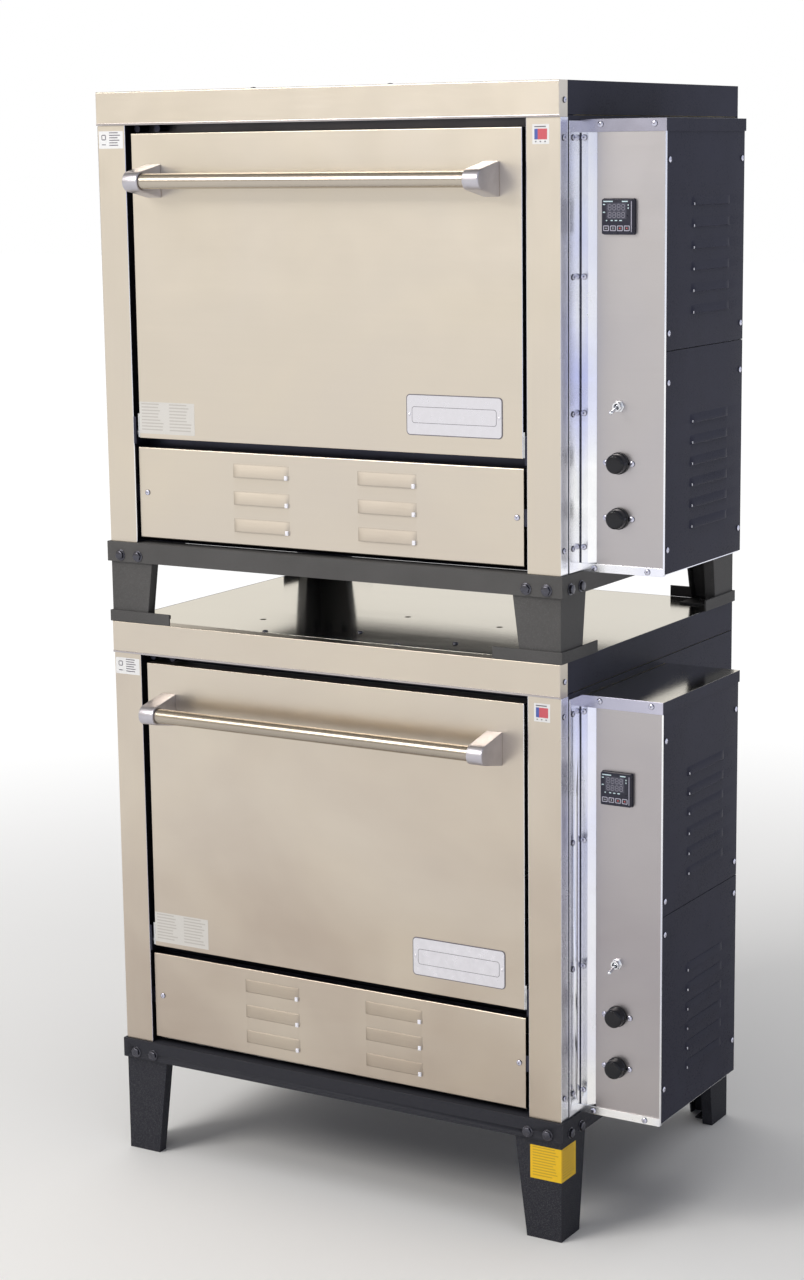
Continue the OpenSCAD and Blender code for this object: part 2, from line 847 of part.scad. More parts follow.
// Back plate with its mounting flange, folded front post, tray, rear wall and lid
module control_box(tier)
  color(bright)
    on_tier(tier) {
      difference() {
        union() {
          block([box_x0, box_x0 + sheet], [box_flange_y, box_y1], [box_z0, box_z1 - 2]);
          translate([0, 0, box_z0])
            linear_extrude(box_z1 - 2 - box_z0)
              polygon([
                [box_x0, box_y0], [body_w + 13, box_y0], [body_w + 25, box_y0 + 5],
                [body_w + 25, box_y0 + 6.6], [body_w + 12.7, box_y0 + sheet],
                [box_x0, box_y0 + sheet]
              ]);
          block([box_x0, box_x1 - sheet - seam], [box_y1 - sheet, box_y1], [box_z0, box_z1 - 2]);
          block([box_x0, box_x1 - sheet - seam], [box_y0 + 6, box_y1], [box_z0, box_z0 + sheet]);
          block([box_x0, box_x1], [box_y0 - sheet, box_y0 + 7], [box_z0 - 0.5, box_z0 + 1]);
          block([box_x0, box_x1], [box_y0 - sheet, box_y0 - seam],
            [box_z0 - 0.5, box_z0 + tray_lip]);
        }
        box_ducts();
        screw_holes(box_flange_screws);
        screw_holes(box_front_screws);
        screw_holes(tray_screws);
        rod_y(gland_x, [box_y1 - 5, box_y1 + 5], gland_z, gland_thread_r + 0.1);
      }
      // lid: a pan turned over the front, right and rear walls
      difference() {
        block([box_x0, box_x1 + 1.6], [box_y0 - 1.4, box_y1 + 1.6], [box_z1 - lid_lip, box_z1]);
        block([box_x0 - 1, box_x1 + 0.2], [box_y0 - seam, box_y1 + 0.2],
          [box_z1 - lid_lip - 1, box_z1 - 1.5]);
        screw_holes(lid_screws);
      }
    }

// Face panel with its cut-outs, folded back along both edges
module control_panel(tier)
  color(stainless)
    on_tier(tier)
      difference() {
        union() {
          block([panel_x0, box_x1], [box_y0, box_y0 + panel_t], [box_z0 + 1.5, box_z1 - 2]);
          block([panel_x0, panel_x0 + panel_t], [box_y0, box_y0 + panel_return],
            [box_z0 + 1.5, box_z1 - 2]);
          block([box_x1 - panel_t, box_x1], [box_y0, box_y0 + panel_return],
            [box_z0 + 1.5, box_z1 - 2]);
        }
        translate([dial_x, box_y0, controller_z])
          cube([controller_body_w + 0.6, 10, controller_body_w + 0.6], center = true);
        rod_y(dial_x, [box_y0 - 2, box_y0 + 3], toggle_z, 6.1);
        for (z = knob_z)
          rod_y(dial_x, [box_y0 - 2, box_y0 + 3], z, spindle_r + 1);
        screw_holes(lid_screws);
        screw_holes(tray_screws);
        screw_holes(knob_screws);
      }

// Two louvered covers over the open right side of the box
module side_covers(tier)
  color(black_paint)
    on_tier(tier)
      for (part = [0, 1]) {
        z = part == 0 ? [box_z0 + 2, side_seam_z - 0.5] : [side_seam_z + 0.5, box_z1 - 2];
        louvers_z = side_louver_z[1 - tier][part];
        difference() {
          union() {
            block([box_x1 - sheet, box_x1], [box_y0 + panel_return + seam, box_y1], z);
            for (i = [0:side_louver_n - 1])
              translate([box_x1, side_louver_y, louvers_z + i * side_louver_pitch])
                rotate([0, 0, 90])
                  louver_hood(side_louver_l, side_louver_h, side_louver_out, sheet);
          }
          for (i = [0:side_louver_n - 1])
            translate([box_x1, side_louver_y, louvers_z + i * side_louver_pitch])
              rotate([0, 0, 90])
                louver_slot(side_louver_l, side_louver_h, sheet);
          screw_holes(side_screws(tier));
        }
      }

// Square instrument: bezel with four key pockets, and the case behind the panel
module temperature_controllers()
  color(dark_plastic)
    both_tiers() {
      half = controller_w / 2;
      body = controller_body_w / 2;
      front = box_y0 - controller_bezel;
      difference() {
        union() {
          block([dial_x - half, dial_x + half], [front, box_y0],
            [controller_z - half, controller_z + half]);
          block([dial_x - body, dial_x + body], [box_y0 - 1, box_y0 + controller_depth],
            [controller_z - body, controller_z + body]);
        }
        for (x = key_x)
          block([x - key_w / 2 - key_gap, x + key_w / 2 + key_gap],
            [front - 1, front - key_proud + key_t + key_travel + 0.1],
            [key_z - key_h / 2 - key_gap, key_z + key_h / 2 + key_gap]);
      }
    }

module key(tier, i)
  color([0.30, 0.30, 0.32])
    on_tier(tier) {
      front = box_y0 - controller_bezel - key_proud;
      block([key_x[i] - key_w / 2, key_x[i] + key_w / 2], [front, front + key_t],
        [key_z - key_h / 2, key_z + key_h / 2]);
    }

// Toggle lever on its pivot pin, resting in its lower position
module toggle_lever(tier)
  color(chrome)
    on_tier(tier)
      translate([dial_x, toggle_pivot_y, toggle_z]) {
        rod_x([seam - toggle_bore_r, toggle_bore_r - seam], 0, 0, toggle_pin_r);
        rotate([90 + toggle_tilt, 0, 0]) {
          sphere(r = 3.6);
          cylinder(r1 = 1.9, r2 = 3, h = toggle_l);
          translate([0, 0, toggle_l]) sphere(r = 3);
        }
      }

// Domed knob with its spindle
module heat_knob(tier, i)
  color(dark_plastic)
    on_tier(tier)
      translate([dial_x, box_y0 - knob_gap, knob_z[i]])
        rotate([90, 0, 0]) {
          rotate_extrude()
            polygon(concat(
              [[0, -spindle_l], [spindle_r, -spindle_l], [spindle_r, 0]],
              [[knob_r, 0], [knob_r, 3]],
              [for (a = [15:15:75])
                [(knob_r - 5) + 5 * cos(a) - 0.4, 3 + (knob_h - 3) * sin(a)]],
              [[knob_r - 6, knob_h], [0, knob_h]]
            ));
        }

// Toggle bodies with bushing and nut, and the bored heat-control bodies
module switch_bodies()
  color(dark_plastic)
    both_tiers() {
      difference() {
        union() {
          rod_y(dial_x, [box_y0 - 9, box_y0 + 4], toggle_z, 6);
          translate([dial_x, box_y0, toggle_z])
            rotate([90, 0, 0]) cylinder(r = 8.5, h = 2.5, $fn = 6);
          block([dial_x - 8, dial_x + 8], [box_y0 + 3, box_y0 + 28],
            [toggle_z - 14, toggle_z + 14]);
        }
        rod_y(dial_x, [box_y0 - 10, box_y0 + 4], toggle_z, toggle_bore_r);
      }
      for (z = knob_z)
        difference() {
          block([dial_x - 20, dial_x + 20], [box_y0 + 4, box_y0 + 38], [z - 17, z + 17]);
          rod_y(dial_x, [box_y0 + 3, box_y0 + spindle_l + 1], z, spindle_r + run);
        }
    }

// Contactor and terminal strip on the back plate of each box
module contactors()
  color([0.20, 0.20, 0.21])
    both_tiers() {
      x0 = box_x0 + sheet;
      difference() {
        block([x0, x0 + 60], [190, 240], [560, 640]);
        for (i = [0:2])
          for (z = [560, 630])
            block([x0 + 40, x0 + 61], [194 + i * 15, 206 + i * 15], [z - 1, z + 11]);
      }
      block([x0, x0 + 22], [150, 290], [262, 286]);
    }

// Supply gland through the rear wall of each control box
module cable_glands()
  color([0.15, 0.15, 0.16])
    both_tiers()
      difference() {
        union() {
          rod_y(gland_x, [box_y1 - gland_in, box_y1 + gland_out], gland_z, gland_thread_r);
          translate([gland_x, box_y1 + 8, gland_z])
            rotate([90, 0, 0]) cylinder(r = gland_nut_r, h = 8, $fn = 6);
          rod_y(gland_x, [box_y1 + 8, box_y1 + gland_out], gland_z, gland_nut_r - 2);
          translate([gland_x, box_y1 - sheet, gland_z])
            rotate([90, 0, 0]) cylinder(r = gland_nut_r, h = 5, $fn = 6);
        }
        rod_y(gland_x, [box_y1 - gland_in - 1, box_y1 + gland_out + 1], gland_z, gland_bore_r);
      }

// Every screw and bolt that stays on the fixed bodies
module fasteners()
  color(chrome)
    for (tier = [0, 1])
      on_tier(tier) {
        bolts();
        screws(concat(
          cap_screws, post_screws, box_flange_screws, box_front_screws, lid_screws,
          tray_screws, kick_screws, knob_screws, roof_screws, rear_screws,
          side_screws(tier)
        ));
      }

// ---------------------------------------------------------------- nodes

base_frame(0);  // lower_base_frame
base_frame(1);  // upper_base_frame
cap_trim(0);  // lower_cap_trim
cap_trim(1);  // upper_cap_trim
top_cover(0);  // lower_top_cover
top_cover(1);  // upper_top_cover
baking_chamber(0);  // lower_baking_chamber
baking_chamber(1);  // upper_baking_chamber
kick_panel(0);  // lower_kick_panel
kick_panel(1);  // upper_kick_panel
control_box(0);  // lower_control_box
control_box(1);  // upper_control_box
control_panel(0);  // lower_control_panel
control_panel(1);  // upper_control_panel
side_covers(0);  // lower_side_covers
side_covers(1);  // upper_side_covers
door_skin(0);  // lower_door_skin
door_skin(1);  // upper_door_skin
door_liner(0);  // lower_door_liner
door_liner(1);  // upper_door_liner
door_insulation(0);  // lower_door_insulation
door_insulation(1);  // upper_door_insulation
handle_tube(0);  // lower_handle_tube
handle_tube(1);  // upper_handle_tube
handle_brackets(0);  // lower_handle_brackets
handle_brackets(1);  // upper_handle_brackets
door_hinge_arms(0);  // lower_door_hinge_arms
door_hinge_arms(1);  // upper_door_hinge_arms
nameplate(0);  // lower_nameplate
nameplate(1);  // upper_nameplate
toggle_lever(0);  // lower_toggle_lever
toggle_lever(1);  // upper_toggle_lever
heat_knob(0, 1);  // lower_top_heat_knob
heat_knob(1, 1);  // upper_top_heat_knob
heat_knob(0, 0);  // lower_bottom_heat_knob
heat_knob(1, 0);  // upper_bottom_heat_knob
key(0, 0);  // lower_key_1
key(0, 1);  // lower_key_2
key(0, 2);  // lower_key_3
key(0, 3);  // lower_key_4
key(1, 0);  // upper_key_1
key(1, 1);  // upper_key_2
key(1, 2);  // upper_key_3
key(1, 3);  // upper_key_4
legs();
leg_cups();
corner_posts();
side_panels();
rear_and_bottom_panels();
insulation();
hearth_decks();
deck_rails();
heating_elements();
thermocouples();
door_hardware();
temperature_controllers();
switch_bodies();
contactors();
cable_glands();
fasteners();
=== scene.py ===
"""Looks of the double-stacked deck oven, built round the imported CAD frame. Units are metres; MM makes them
from millimetres. Places come from the boxes of the CAD nodes, and front is -Y."""

import json
import math
import random

import bmesh
import bpy
from mathutils import Matrix, Quaternion, Vector

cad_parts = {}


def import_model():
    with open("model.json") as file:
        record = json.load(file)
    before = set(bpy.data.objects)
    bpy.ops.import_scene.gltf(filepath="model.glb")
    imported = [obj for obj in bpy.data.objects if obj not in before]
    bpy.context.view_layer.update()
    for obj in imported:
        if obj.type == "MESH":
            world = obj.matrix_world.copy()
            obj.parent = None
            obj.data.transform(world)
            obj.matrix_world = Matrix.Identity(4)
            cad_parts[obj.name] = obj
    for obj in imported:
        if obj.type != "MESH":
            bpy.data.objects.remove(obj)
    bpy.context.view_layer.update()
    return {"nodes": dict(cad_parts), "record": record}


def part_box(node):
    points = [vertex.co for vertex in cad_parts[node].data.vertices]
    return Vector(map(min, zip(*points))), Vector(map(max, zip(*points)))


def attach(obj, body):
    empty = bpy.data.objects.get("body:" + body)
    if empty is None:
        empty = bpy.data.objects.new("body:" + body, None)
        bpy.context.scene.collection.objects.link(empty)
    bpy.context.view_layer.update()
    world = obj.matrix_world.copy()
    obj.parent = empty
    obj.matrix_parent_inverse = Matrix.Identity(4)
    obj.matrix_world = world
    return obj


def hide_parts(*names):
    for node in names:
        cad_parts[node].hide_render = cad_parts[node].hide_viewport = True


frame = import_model()

MM = 0.001
TIERS = ("lower", "upper")
NODES = frame["nodes"]
BODY_OF = {node: body for body, nodes in frame["record"]["behaviour"]["bodies"].items() for node in nodes}

# The body's left face, the front face of its posts, and the step from one oven to the next
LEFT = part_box("side_panels")[0].x
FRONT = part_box("corner_posts")[0].y
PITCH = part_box("upper_cap_trim")[0].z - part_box("lower_cap_trim")[0].z

X, Y, Z = Vector((1, 0, 0)), Vector((0, 1, 0)), Vector((0, 0, 1))


def place(tier, x, y, z):
    """A point of one oven: millimetres from its left face, from its front posts and from the floor."""
    return Vector((LEFT + x * MM, FRONT + y * MM, z * MM + tier * PITCH))


# ---------------------------------------------------------------- materials


class Tree:
    """Short words for building a node tree."""

    def __init__(self, tree):
        self.tree = tree

    def add(self, kind, **settings):
        node = self.tree.nodes.new(kind)
        for key, value in settings.items():
            setattr(node, key, value)
        return node

    def link(self, source, socket):
        self.tree.links.new(source, socket)

    def put(self, value, socket):
        """Sets a socket from a number or from another node's output."""
        if isinstance(value, bpy.types.NodeSocket):
            self.link(value, socket)
        else:
            socket.default_value = value

    def math(self, operation, a, b):
        node = self.add("ShaderNodeMath", operation=operation)
        self.put(a, node.inputs[0])
        self.put(b, node.inputs[1])
        return node.outputs[0]

    def span(self, value, low, high, to_low=0.0, to_high=1.0):
        """Maps low..high onto to_low..to_high, held at both ends."""
        node = self.add("ShaderNodeMapRange", clamp=True)
        self.link(value, node.inputs["Value"])
        for key, number in (("From Min", low), ("From Max", high), ("To Min", to_low), ("To Max", to_high)):
            node.inputs[key].default_value = number
        return node.outputs["Result"]

    def mix(self, factor, a, b):
        node = self.add("ShaderNodeMix", data_type="RGBA")
        self.put(factor, node.inputs[0])
        for value, socket in ((a, node.inputs[6]), (b, node.inputs[7])):
            self.put((*value, 1.0) if isinstance(value, tuple) else value, socket)
        return node.outputs[2]

    def steps(self, value, *stops):
        """Maps a value from -1 to 1 through (value, brightness) stops."""
        node = self.add("ShaderNodeValToRGB")
        marks = node.color_ramp.elements
        while len(marks) < len(stops):
            marks.new(0.5)
        for mark, (at, bright) in zip(marks, stops):
            mark.position = (at + 1) / 2
            mark.color = (bright, bright, bright, 1)
        self.link(self.span(value, -1, 1), node.inputs["Fac"])
        return node.outputs["Color"]

    def split(self, vector):
        node = self.add("ShaderNodeSeparateXYZ")
        self.link(vector, node.inputs[0])
        return node.outputs


class Nodes(Tree):
    """The node tree of one material, with its noises in object space."""

    def __init__(self, name):
        self.material = bpy.data.materials.new(name)
        self.material.use_nodes = True
        super().__init__(self.material.node_tree)
        self.shader = self.tree.nodes["Principled BSDF"]
        self.place = self.add("ShaderNodeTexCoord").outputs["Object"]

    def noise(self, scale, detail=3.0, rough=0.55, stretch=(1, 1, 1), distortion=0.0):
        """Noise from 0 to 1. A small stretch draws it out along that axis."""
        mapping = self.add("ShaderNodeMapping")
        mapping.inputs["Scale"].default_value = stretch
        self.link(self.place, mapping.inputs["Vector"])
        noise = self.add("ShaderNodeTexNoise")
        self.link(mapping.outputs[0], noise.inputs["Vector"])
        noise.inputs["Scale"].default_value = scale
        noise.inputs["Detail"].default_value = detail
        noise.inputs["Roughness"].default_value = rough
        noise.inputs["Distortion"].default_value = distortion
        return noise.outputs["Fac"]

    def axis(self, which):
        """One coordinate of the point in object space."""
        return self.split(self.place)[which]

    def edges(self, radius):
        """About 1 on sharp edges and 0 on flats."""
        bevel = self.add("ShaderNodeBevel", samples=4)
        bevel.inputs["Radius"].default_value = radius
        flat = self.add("ShaderNodeNewGeometry").outputs["Normal"]
        dot = self.add("ShaderNodeVectorMath", operation="DOT_PRODUCT")
        self.link(bevel.outputs[0], dot.inputs[0])
        self.link(flat, dot.inputs[1])
        return self.span(dot.outputs["Value"], 0.97, 0.78)

    def bump(self, height, depth, strength=1.0):
        node = self.add("ShaderNodeBump")
        node.inputs["Distance"].default_value = depth
        node.inputs["Strength"].default_value = strength
        self.link(height, node.inputs["Height"])
        self.link(node.outputs[0], self.shader.inputs["Normal"])

    def finish(self, colour, rough, metal=0.0, **constants):
        self.put((*colour, 1.0) if isinstance(colour, tuple) else colour, self.shader.inputs["Base Color"])
        self.put(rough, self.shader.inputs["Roughness"])
        self.shader.inputs["Metallic"].default_value = metal
        for name, value in constants.items():
            self.shader.inputs[name.replace("_", " ")].default_value = value
        return self.material


def shade(colour, factor):
    return tuple(min(1.0, c * factor) for c in colour)


# How a straw-coloured patch of stainless steel differs from the rest of it
STRAW = (1.02, 1.0, 0.92)


def brushed_steel(name, colour, along, rough=0.31, cloud=0.02, relief=0.000007, low_shade=None):
    """Brushed stainless sheet. along is the axis that the grain runs along, 0 to 2. A low colour, where
    given, is painted shade: the steel turns towards it from 1.35 m down to 0.25 m above the floor.
    """
    n = Nodes(name)
    stretch = tuple(0.02 if i == along else 1.0 for i in range(3))
    lines = n.noise(900.0, 2.0, 0.6, stretch)
    long_lines = n.noise(160.0, 3.0, 0.6, stretch)
    mottle = n.noise(5.0, 4.0, 0.55, tuple(0.45 if i == along else 1.0 for i in range(3)), 0.4)
    patches = n.noise(2.6, 3.0, 0.5, distortion=0.8)
    smudge = n.noise(13.0, 3.0, 0.5, distortion=0.8)
    base = colour
    # painted shade: darker towards the floor
    if low_shade:
        height = n.span(n.axis(2), 0.25, 1.35)
        base = n.mix(height, low_shade, colour)
    straw = tuple(c * f for c, f in zip(colour, STRAW))
    warm = n.mix(n.span(patches, 0.36, 0.66, 0.0, 0.5), base, straw)
    dark = n.mix(0.5, warm, shade(colour, 1 - 4 * cloud))
    toned = n.mix(n.span(mottle, 0.3, 0.72), dark, warm)
    lined = n.mix(n.span(long_lines, 0.3, 0.7, 0.0, 0.036), toned, shade(colour, 0.7))
    roughness = n.math(
        "ADD", n.span(lines, 0.25, 0.75, rough - 0.02, rough + 0.03), n.span(smudge, 0.35, 0.75, -0.01, 0.025)
    )
    n.bump(n.math("ADD", lines, n.math("MULTIPLY", long_lines, 0.6)), relief)
    return n.finish(lined, roughness, metal=1.0)


def bright_steel(name, shadow=(0.74, 0.76, 0.94), light=(1.0, 1.0, 1.0)):
    """Smoother folded sheet whose colour carries painted reflection: it drifts between a shadow and a light
    colour in bands drawn out upright along its folds.
    """
    n = Nodes(name)
    drift = n.noise(7.0, 2.0, 0.5, (1.0, 1.0, 0.45), 0.3)
    lines = n.noise(700.0, 2.0, 0.6, (1.0, 1.0, 0.02))
    smudge = n.noise(22.0, 4.0, 0.6, distortion=0.6)
    tone = n.mix(n.span(drift, 0.36, 0.62), shadow, light)
    tone = n.mix(n.span(smudge, 0.35, 0.7, 0.0, 0.25), tone, shade(light, 0.8))
    n.bump(n.math("ADD", drift, n.math("MULTIPLY", lines, 0.03)), 0.0001, 0.5)
    return n.finish(tone, n.span(smudge, 0.3, 0.75, 0.20, 0.30), metal=1.0)


def roof_steel(name, colour=(0.80, 0.785, 0.715)):
    """Mill-finish roof sheet: smooth, with faint streaks and dust."""
    n = Nodes(name)
    streaks = n.noise(12.0, 4.0, 0.6, (0.25, 1.0, 1.0), 0.5)
    spots = n.noise(240.0, 2.0, 0.5)
    tone = n.mix(n.span(streaks, 0.3, 0.7), shade(colour, 0.95), colour)
    tone = n.mix(n.span(spots, 0.68, 0.76, 0.0, 0.2), tone, shade(colour, 0.6))
    roughness = n.span(streaks, 0.3, 0.75, 0.09, 0.15)
    n.bump(n.noise(500.0, 2.0, 0.6, (0.05, 1.0, 1.0)), 0.000008)
    return n.finish(tone, roughness, metal=1.0)


def paint(name, colour, rough, speckle, wear, gloss=0.4, texture=0.00012, low_shade=None):
    """Powder-coated steel: fine orange peel, speckle, and edges worn a little lighter. A low colour, where
    given, is painted shade: the paint turns towards it from 0.9 m down to 0.25 m above the floor.
    """
    n = Nodes(name)
    peel = n.noise(420.0, 3.0, 0.6)
    cloud = n.noise(9.0, 4.0, 0.6)
    fleck = n.noise(1100.0, 2.0, 0.7)
    tone = n.mix(n.span(cloud, 0.3, 0.7), shade(colour, 0.86), shade(colour, 1.08))
    # painted shade: darker towards the floor
    if low_shade:
        tone = n.mix(n.span(n.axis(2), 0.25, 0.9), low_shade, tone)
    tone = n.mix(n.span(fleck, 0.5, 0.8, 0.0, speckle), tone, shade(colour, 2.6))
    worn = n.math("MULTIPLY", n.edges(0.0012), n.span(n.noise(60.0, 4.0, 0.7), 0.42, 0.62, 0.0, wear))
    tone = n.mix(worn, tone, (0.33, 0.33, 0.34))
    roughness = n.math(
        "ADD", n.span(peel, 0.3, 0.7, rough - 0.06, rough + 0.06), n.span(cloud, 0.3, 0.7, -0.03, 0.04)
    )
    n.bump(peel, texture)
    return n.finish(tone, roughness, Specular_IOR_Level=gloss)


def cast_metal(name, colour=(0.62, 0.615, 0.61)):
    """Satin die-cast aluminium: fine pits and a slightly uneven tone."""
    n = Nodes(name)
    pits = n.noise(700.0, 3.0, 0.65)
    cloud = n.noise(40.0, 4.0, 0.6)
    tone = n.mix(n.span(cloud, 0.3, 0.7), shade(colour, 0.9), shade(colour, 1.07))
    tone = n.mix(n.math("MULTIPLY", n.edges(0.001), 0.4), tone, (0.85, 0.85, 0.86))
    n.bump(pits, 0.00006)
    return n.finish(tone, n.span(pits, 0.3, 0.75, 0.30, 0.44), metal=1.0)


def plated(name, colour, rough=0.16, stain=0.15, metal=1.0):
    """Plated steel with faint staining."""
    n = Nodes(name)
    cloud = n.noise(90.0, 4.0, 0.6)
    scratch = n.noise(900.0, 2.0, 0.6, (1.0, 0.2, 1.0))
    tone = n.mix(n.span(cloud, 0.4, 0.75, 0.0, stain * 3), colour, shade(colour, 0.55))
    n.bump(scratch, 0.00002)
    return n.finish(tone, n.span(cloud, 0.3, 0.75, rough - 0.05, rough + 0.1), metal=metal)


def plastic(name, colour, rough, gloss=0.5):
    """Moulded plastic: fine mould texture and faint handling marks."""
    n = Nodes(name)
    texture = n.noise(1400.0, 2.0, 0.6)
    marks = n.noise(120.0, 4.0, 0.65)
    tone = n.mix(n.span(marks, 0.35, 0.7), colour, shade(colour, 1.35))
    n.bump(texture, 0.00002)
    return n.finish(tone, n.span(marks, 0.3, 0.7, rough - 0.05, rough + 0.08), Specular_IOR_Level=gloss)


def printed(name, colour, rough=0.45):
    """Printed vinyl or ink, with a slight unevenness."""
    n = Nodes(name)
    fibre = n.noise(800.0, 3.0, 0.6)
    tone = n.mix(n.span(fibre, 0.3, 0.7), shade(colour, 0.93), colour)
    n.bump(n.noise(70.0, 2.0, 0.5), 0.00005)
    return n.finish(tone, n.span(fibre, 0.3, 0.7, rough - 0.06, rough + 0.06))


def hearth_stone(name, colour=(0.50, 0.465, 0.41)):
    """Pressed hearth board with dark specks and baked-on stains."""
    n = Nodes(name)
    specks = n.noise(380.0, 3.0, 0.7)
    stains = n.noise(7.0, 5.0, 0.6, distortion=1.2)
    grit = n.noise(900.0, 3.0, 0.7)
    tone = n.mix(n.span(stains, 0.45, 0.7, 0.0, 0.55), colour, (0.30, 0.24, 0.18))
    tone = n.mix(n.span(specks, 0.62, 0.72, 0.0, 0.7), tone, (0.16, 0.14, 0.12))
    n.bump(grit, 0.0003)
    return n.finish(tone, n.span(grit, 0.3, 0.7, 0.78, 0.95))


def mineral_wool(name, colour=(0.66, 0.56, 0.30)):
    """Matted yellow-brown fibre."""
    n = Nodes(name)
    fibre = n.noise(300.0, 5.0, 0.75, (0.2, 1.0, 1.0), 1.5)
    clump = n.noise(40.0, 4.0, 0.6)
    tone = n.mix(n.span(clump, 0.3, 0.7), shade(colour, 0.8), colour)
    tone = n.mix(n.span(fibre, 0.4, 0.7, 0.0, 0.6), tone, shade(colour, 0.55))
    n.bump(fibre, 0.0015)
    return n.finish(tone, n.span(fibre, 0.3, 0.7, 0.85, 0.98))


def aluminised(name, colour=(0.55, 0.55, 0.56), gap_shade_before=None, grey_shade_above=None):
    """Aluminised liner steel, heat-tinted in soft straw patches. In front of the y given first it is painted
    dark, as painted shade in the gap round the door, and above the height given second that shade is painted
    a lighter grey."""
    n = Nodes(name)
    spangle = n.add("ShaderNodeTexVoronoi")
    n.link(n.place, spangle.inputs["Vector"])
    spangle.inputs["Scale"].default_value = 160.0
    heat = n.noise(6.0, 4.0, 0.55, distortion=0.8)
    tone = n.mix(n.span(heat, 0.42, 0.7, 0.0, 0.55), colour, (0.50, 0.40, 0.27))
    tone = n.mix(n.span(spangle.outputs["Distance"], 0.1, 0.6, 0.0, 0.2), tone, shade(colour, 0.7))
    if gap_shade_before is not None:
        # painted shade for the gap round the door: the front face is drawn near-black
        face = (0.055, 0.057, 0.080)
        if grey_shade_above is not None:
            face = n.mix(n.span(n.axis(2), grey_shade_above, grey_shade_above + 10 * MM), face, (0.090, 0.088, 0.098))
        tone = n.mix(n.span(n.axis(1), gap_shade_before - 0.1 * MM, gap_shade_before), face, tone)
    n.bump(n.noise(200.0, 3.0, 0.6), 0.00004)
    return n.finish(tone, n.span(heat, 0.3, 0.7, 0.34, 0.48), metal=1.0)


def heated_sheath(name, colour=(0.17, 0.155, 0.145)):
    """Oxidised heating-element sheath."""
    n = Nodes(name)
    scale = n.noise(220.0, 4.0, 0.7)
    band = n.noise(20.0, 3.0, 0.5)
    tone = n.mix(n.span(band, 0.4, 0.7), colour, (0.24, 0.17, 0.12))
    n.bump(scale, 0.0001)
    return n.finish(tone, n.span(scale, 0.3, 0.7, 0.45, 0.7), metal=0.6)


FRONT_STEEL = (0.715, 0.655, 0.575)
# The low colours given below are painted shade, darkening the lower parts of each material.
LOW_SHADE_STEEL = (0.446, 0.370, 0.306)
STEEL_X = brushed_steel("front steel, grain across", FRONT_STEEL, 0, low_shade=LOW_SHADE_STEEL)
# A darker, rougher copy of the front steel for the pressed louvre hoods: painted shade that damps their
# highlight.
PRESSED_STEEL = brushed_steel("pressed steel", (0.60, 0.55, 0.485), 0, rough=0.62,
                              low_shade=(0.38, 0.315, 0.26))
STEEL_Z = brushed_steel("front steel, grain upright", FRONT_STEEL, 2, low_shade=LOW_SHADE_STEEL)
PANEL_STEEL = brushed_steel("panel steel", (0.535, 0.515, 0.535), 0, cloud=0.03,
                            low_shade=(0.320, 0.290, 0.310))
# A darker copy of the front steel for the handle tubes: painted shade that damps their highlight.
TUBE_STEEL = brushed_steel("tube steel", (0.50, 0.45, 0.39), 0, rough=0.22, relief=0.000001,
                          low_shade=(0.20, 0.17, 0.14))
# A darker copy of the front steel for the caps' bottom hems: painted shade along their lower edge.
HEM_SHADE_STEEL = brushed_steel("hem steel", (0.47, 0.44, 0.45), 0, rough=0.24)
# Near-white steel for the returns and edges that face right: painted reflection.
PAINTED_SHEEN_STEEL = bright_steel("bright steel")
# Darker copies of the same bright steel for the lid's and the tray's front lips: painted shade.
LID_STEEL = bright_steel("lid steel", (0.42, 0.42, 0.52), (0.56, 0.55, 0.66))
TRAY_STEEL = bright_steel("tray steel", (0.32, 0.31, 0.37), (0.44, 0.43, 0.51))
ROOF = roof_steel("roof steel")
BLACK = paint("black powder coat", (0.090, 0.088, 0.088), 0.60, 0.45, 0.15, gloss=0.12,
              low_shade=(0.026, 0.027, 0.036))
GLOSS_BLACK = paint("gloss black enamel", (0.038, 0.039, 0.061), 0.30, 0.03, 0.12, gloss=0.03,
                    texture=0.00002)
CAST = cast_metal("cast aluminium", (0.52, 0.505, 0.55))
CHROME = plated("chrome plate", (0.86, 0.87, 0.90))
# Near-white, half-metal plating for the door catches: a painted highlight that keeps them bright in the dark
# gap above the door.
CATCH_HIGHLIGHT = plated("catch plate, painted highlight", (0.95, 0.96, 1.0), 0.25, 0.05, metal=0.4)
SCREW = plated("screw plating", (0.62, 0.62, 0.74), 0.24, 0.1)
ZINC = plated("zinc plate", (0.66, 0.67, 0.68), 0.26, 0.25)
# Dark plating for the hex bolts, also used on the screws' rims and crosses as painted shade.
DARK_BOLT_AND_SHADE = plated("dark bolt and painted shade", (0.10, 0.10, 0.12), 0.24, 0.3)
# Near-black steel for faces that lie in shade, in gaps and behind returns: painted shade.
SHADE_STEEL = plated("painted shade steel", (0.050, 0.052, 0.075), 0.40, 0.2)
PLATE = plated("plate aluminium", (0.76, 0.75, 0.80), 0.30, 0.05)
LINER = aluminised("aluminised liner")
CHAMBER = aluminised("chamber liner", gap_shade_before=FRONT + 40.5 * MM)
UPPER_CHAMBER = aluminised("upper chamber liner", gap_shade_before=FRONT + 40.5 * MM,
                           grey_shade_above=place(1, 0, 0, 700).z)
SHEATH = heated_sheath("element sheath")
STONE = hearth_stone("hearth board")
WOOL = mineral_wool("mineral wool")
SHINY_PLASTIC = plastic("gloss black plastic", (0.006, 0.006, 0.009), 0.14, 0.35)
BEZEL = plastic("bezel plastic", (0.020, 0.020, 0.034), 0.30, 0.3)
MATTE_PLASTIC = plastic("matte black plastic", (0.020, 0.020, 0.024), 0.42)
WINDOW = plastic("display window", (0.060, 0.060, 0.085), 0.22, 0.4)
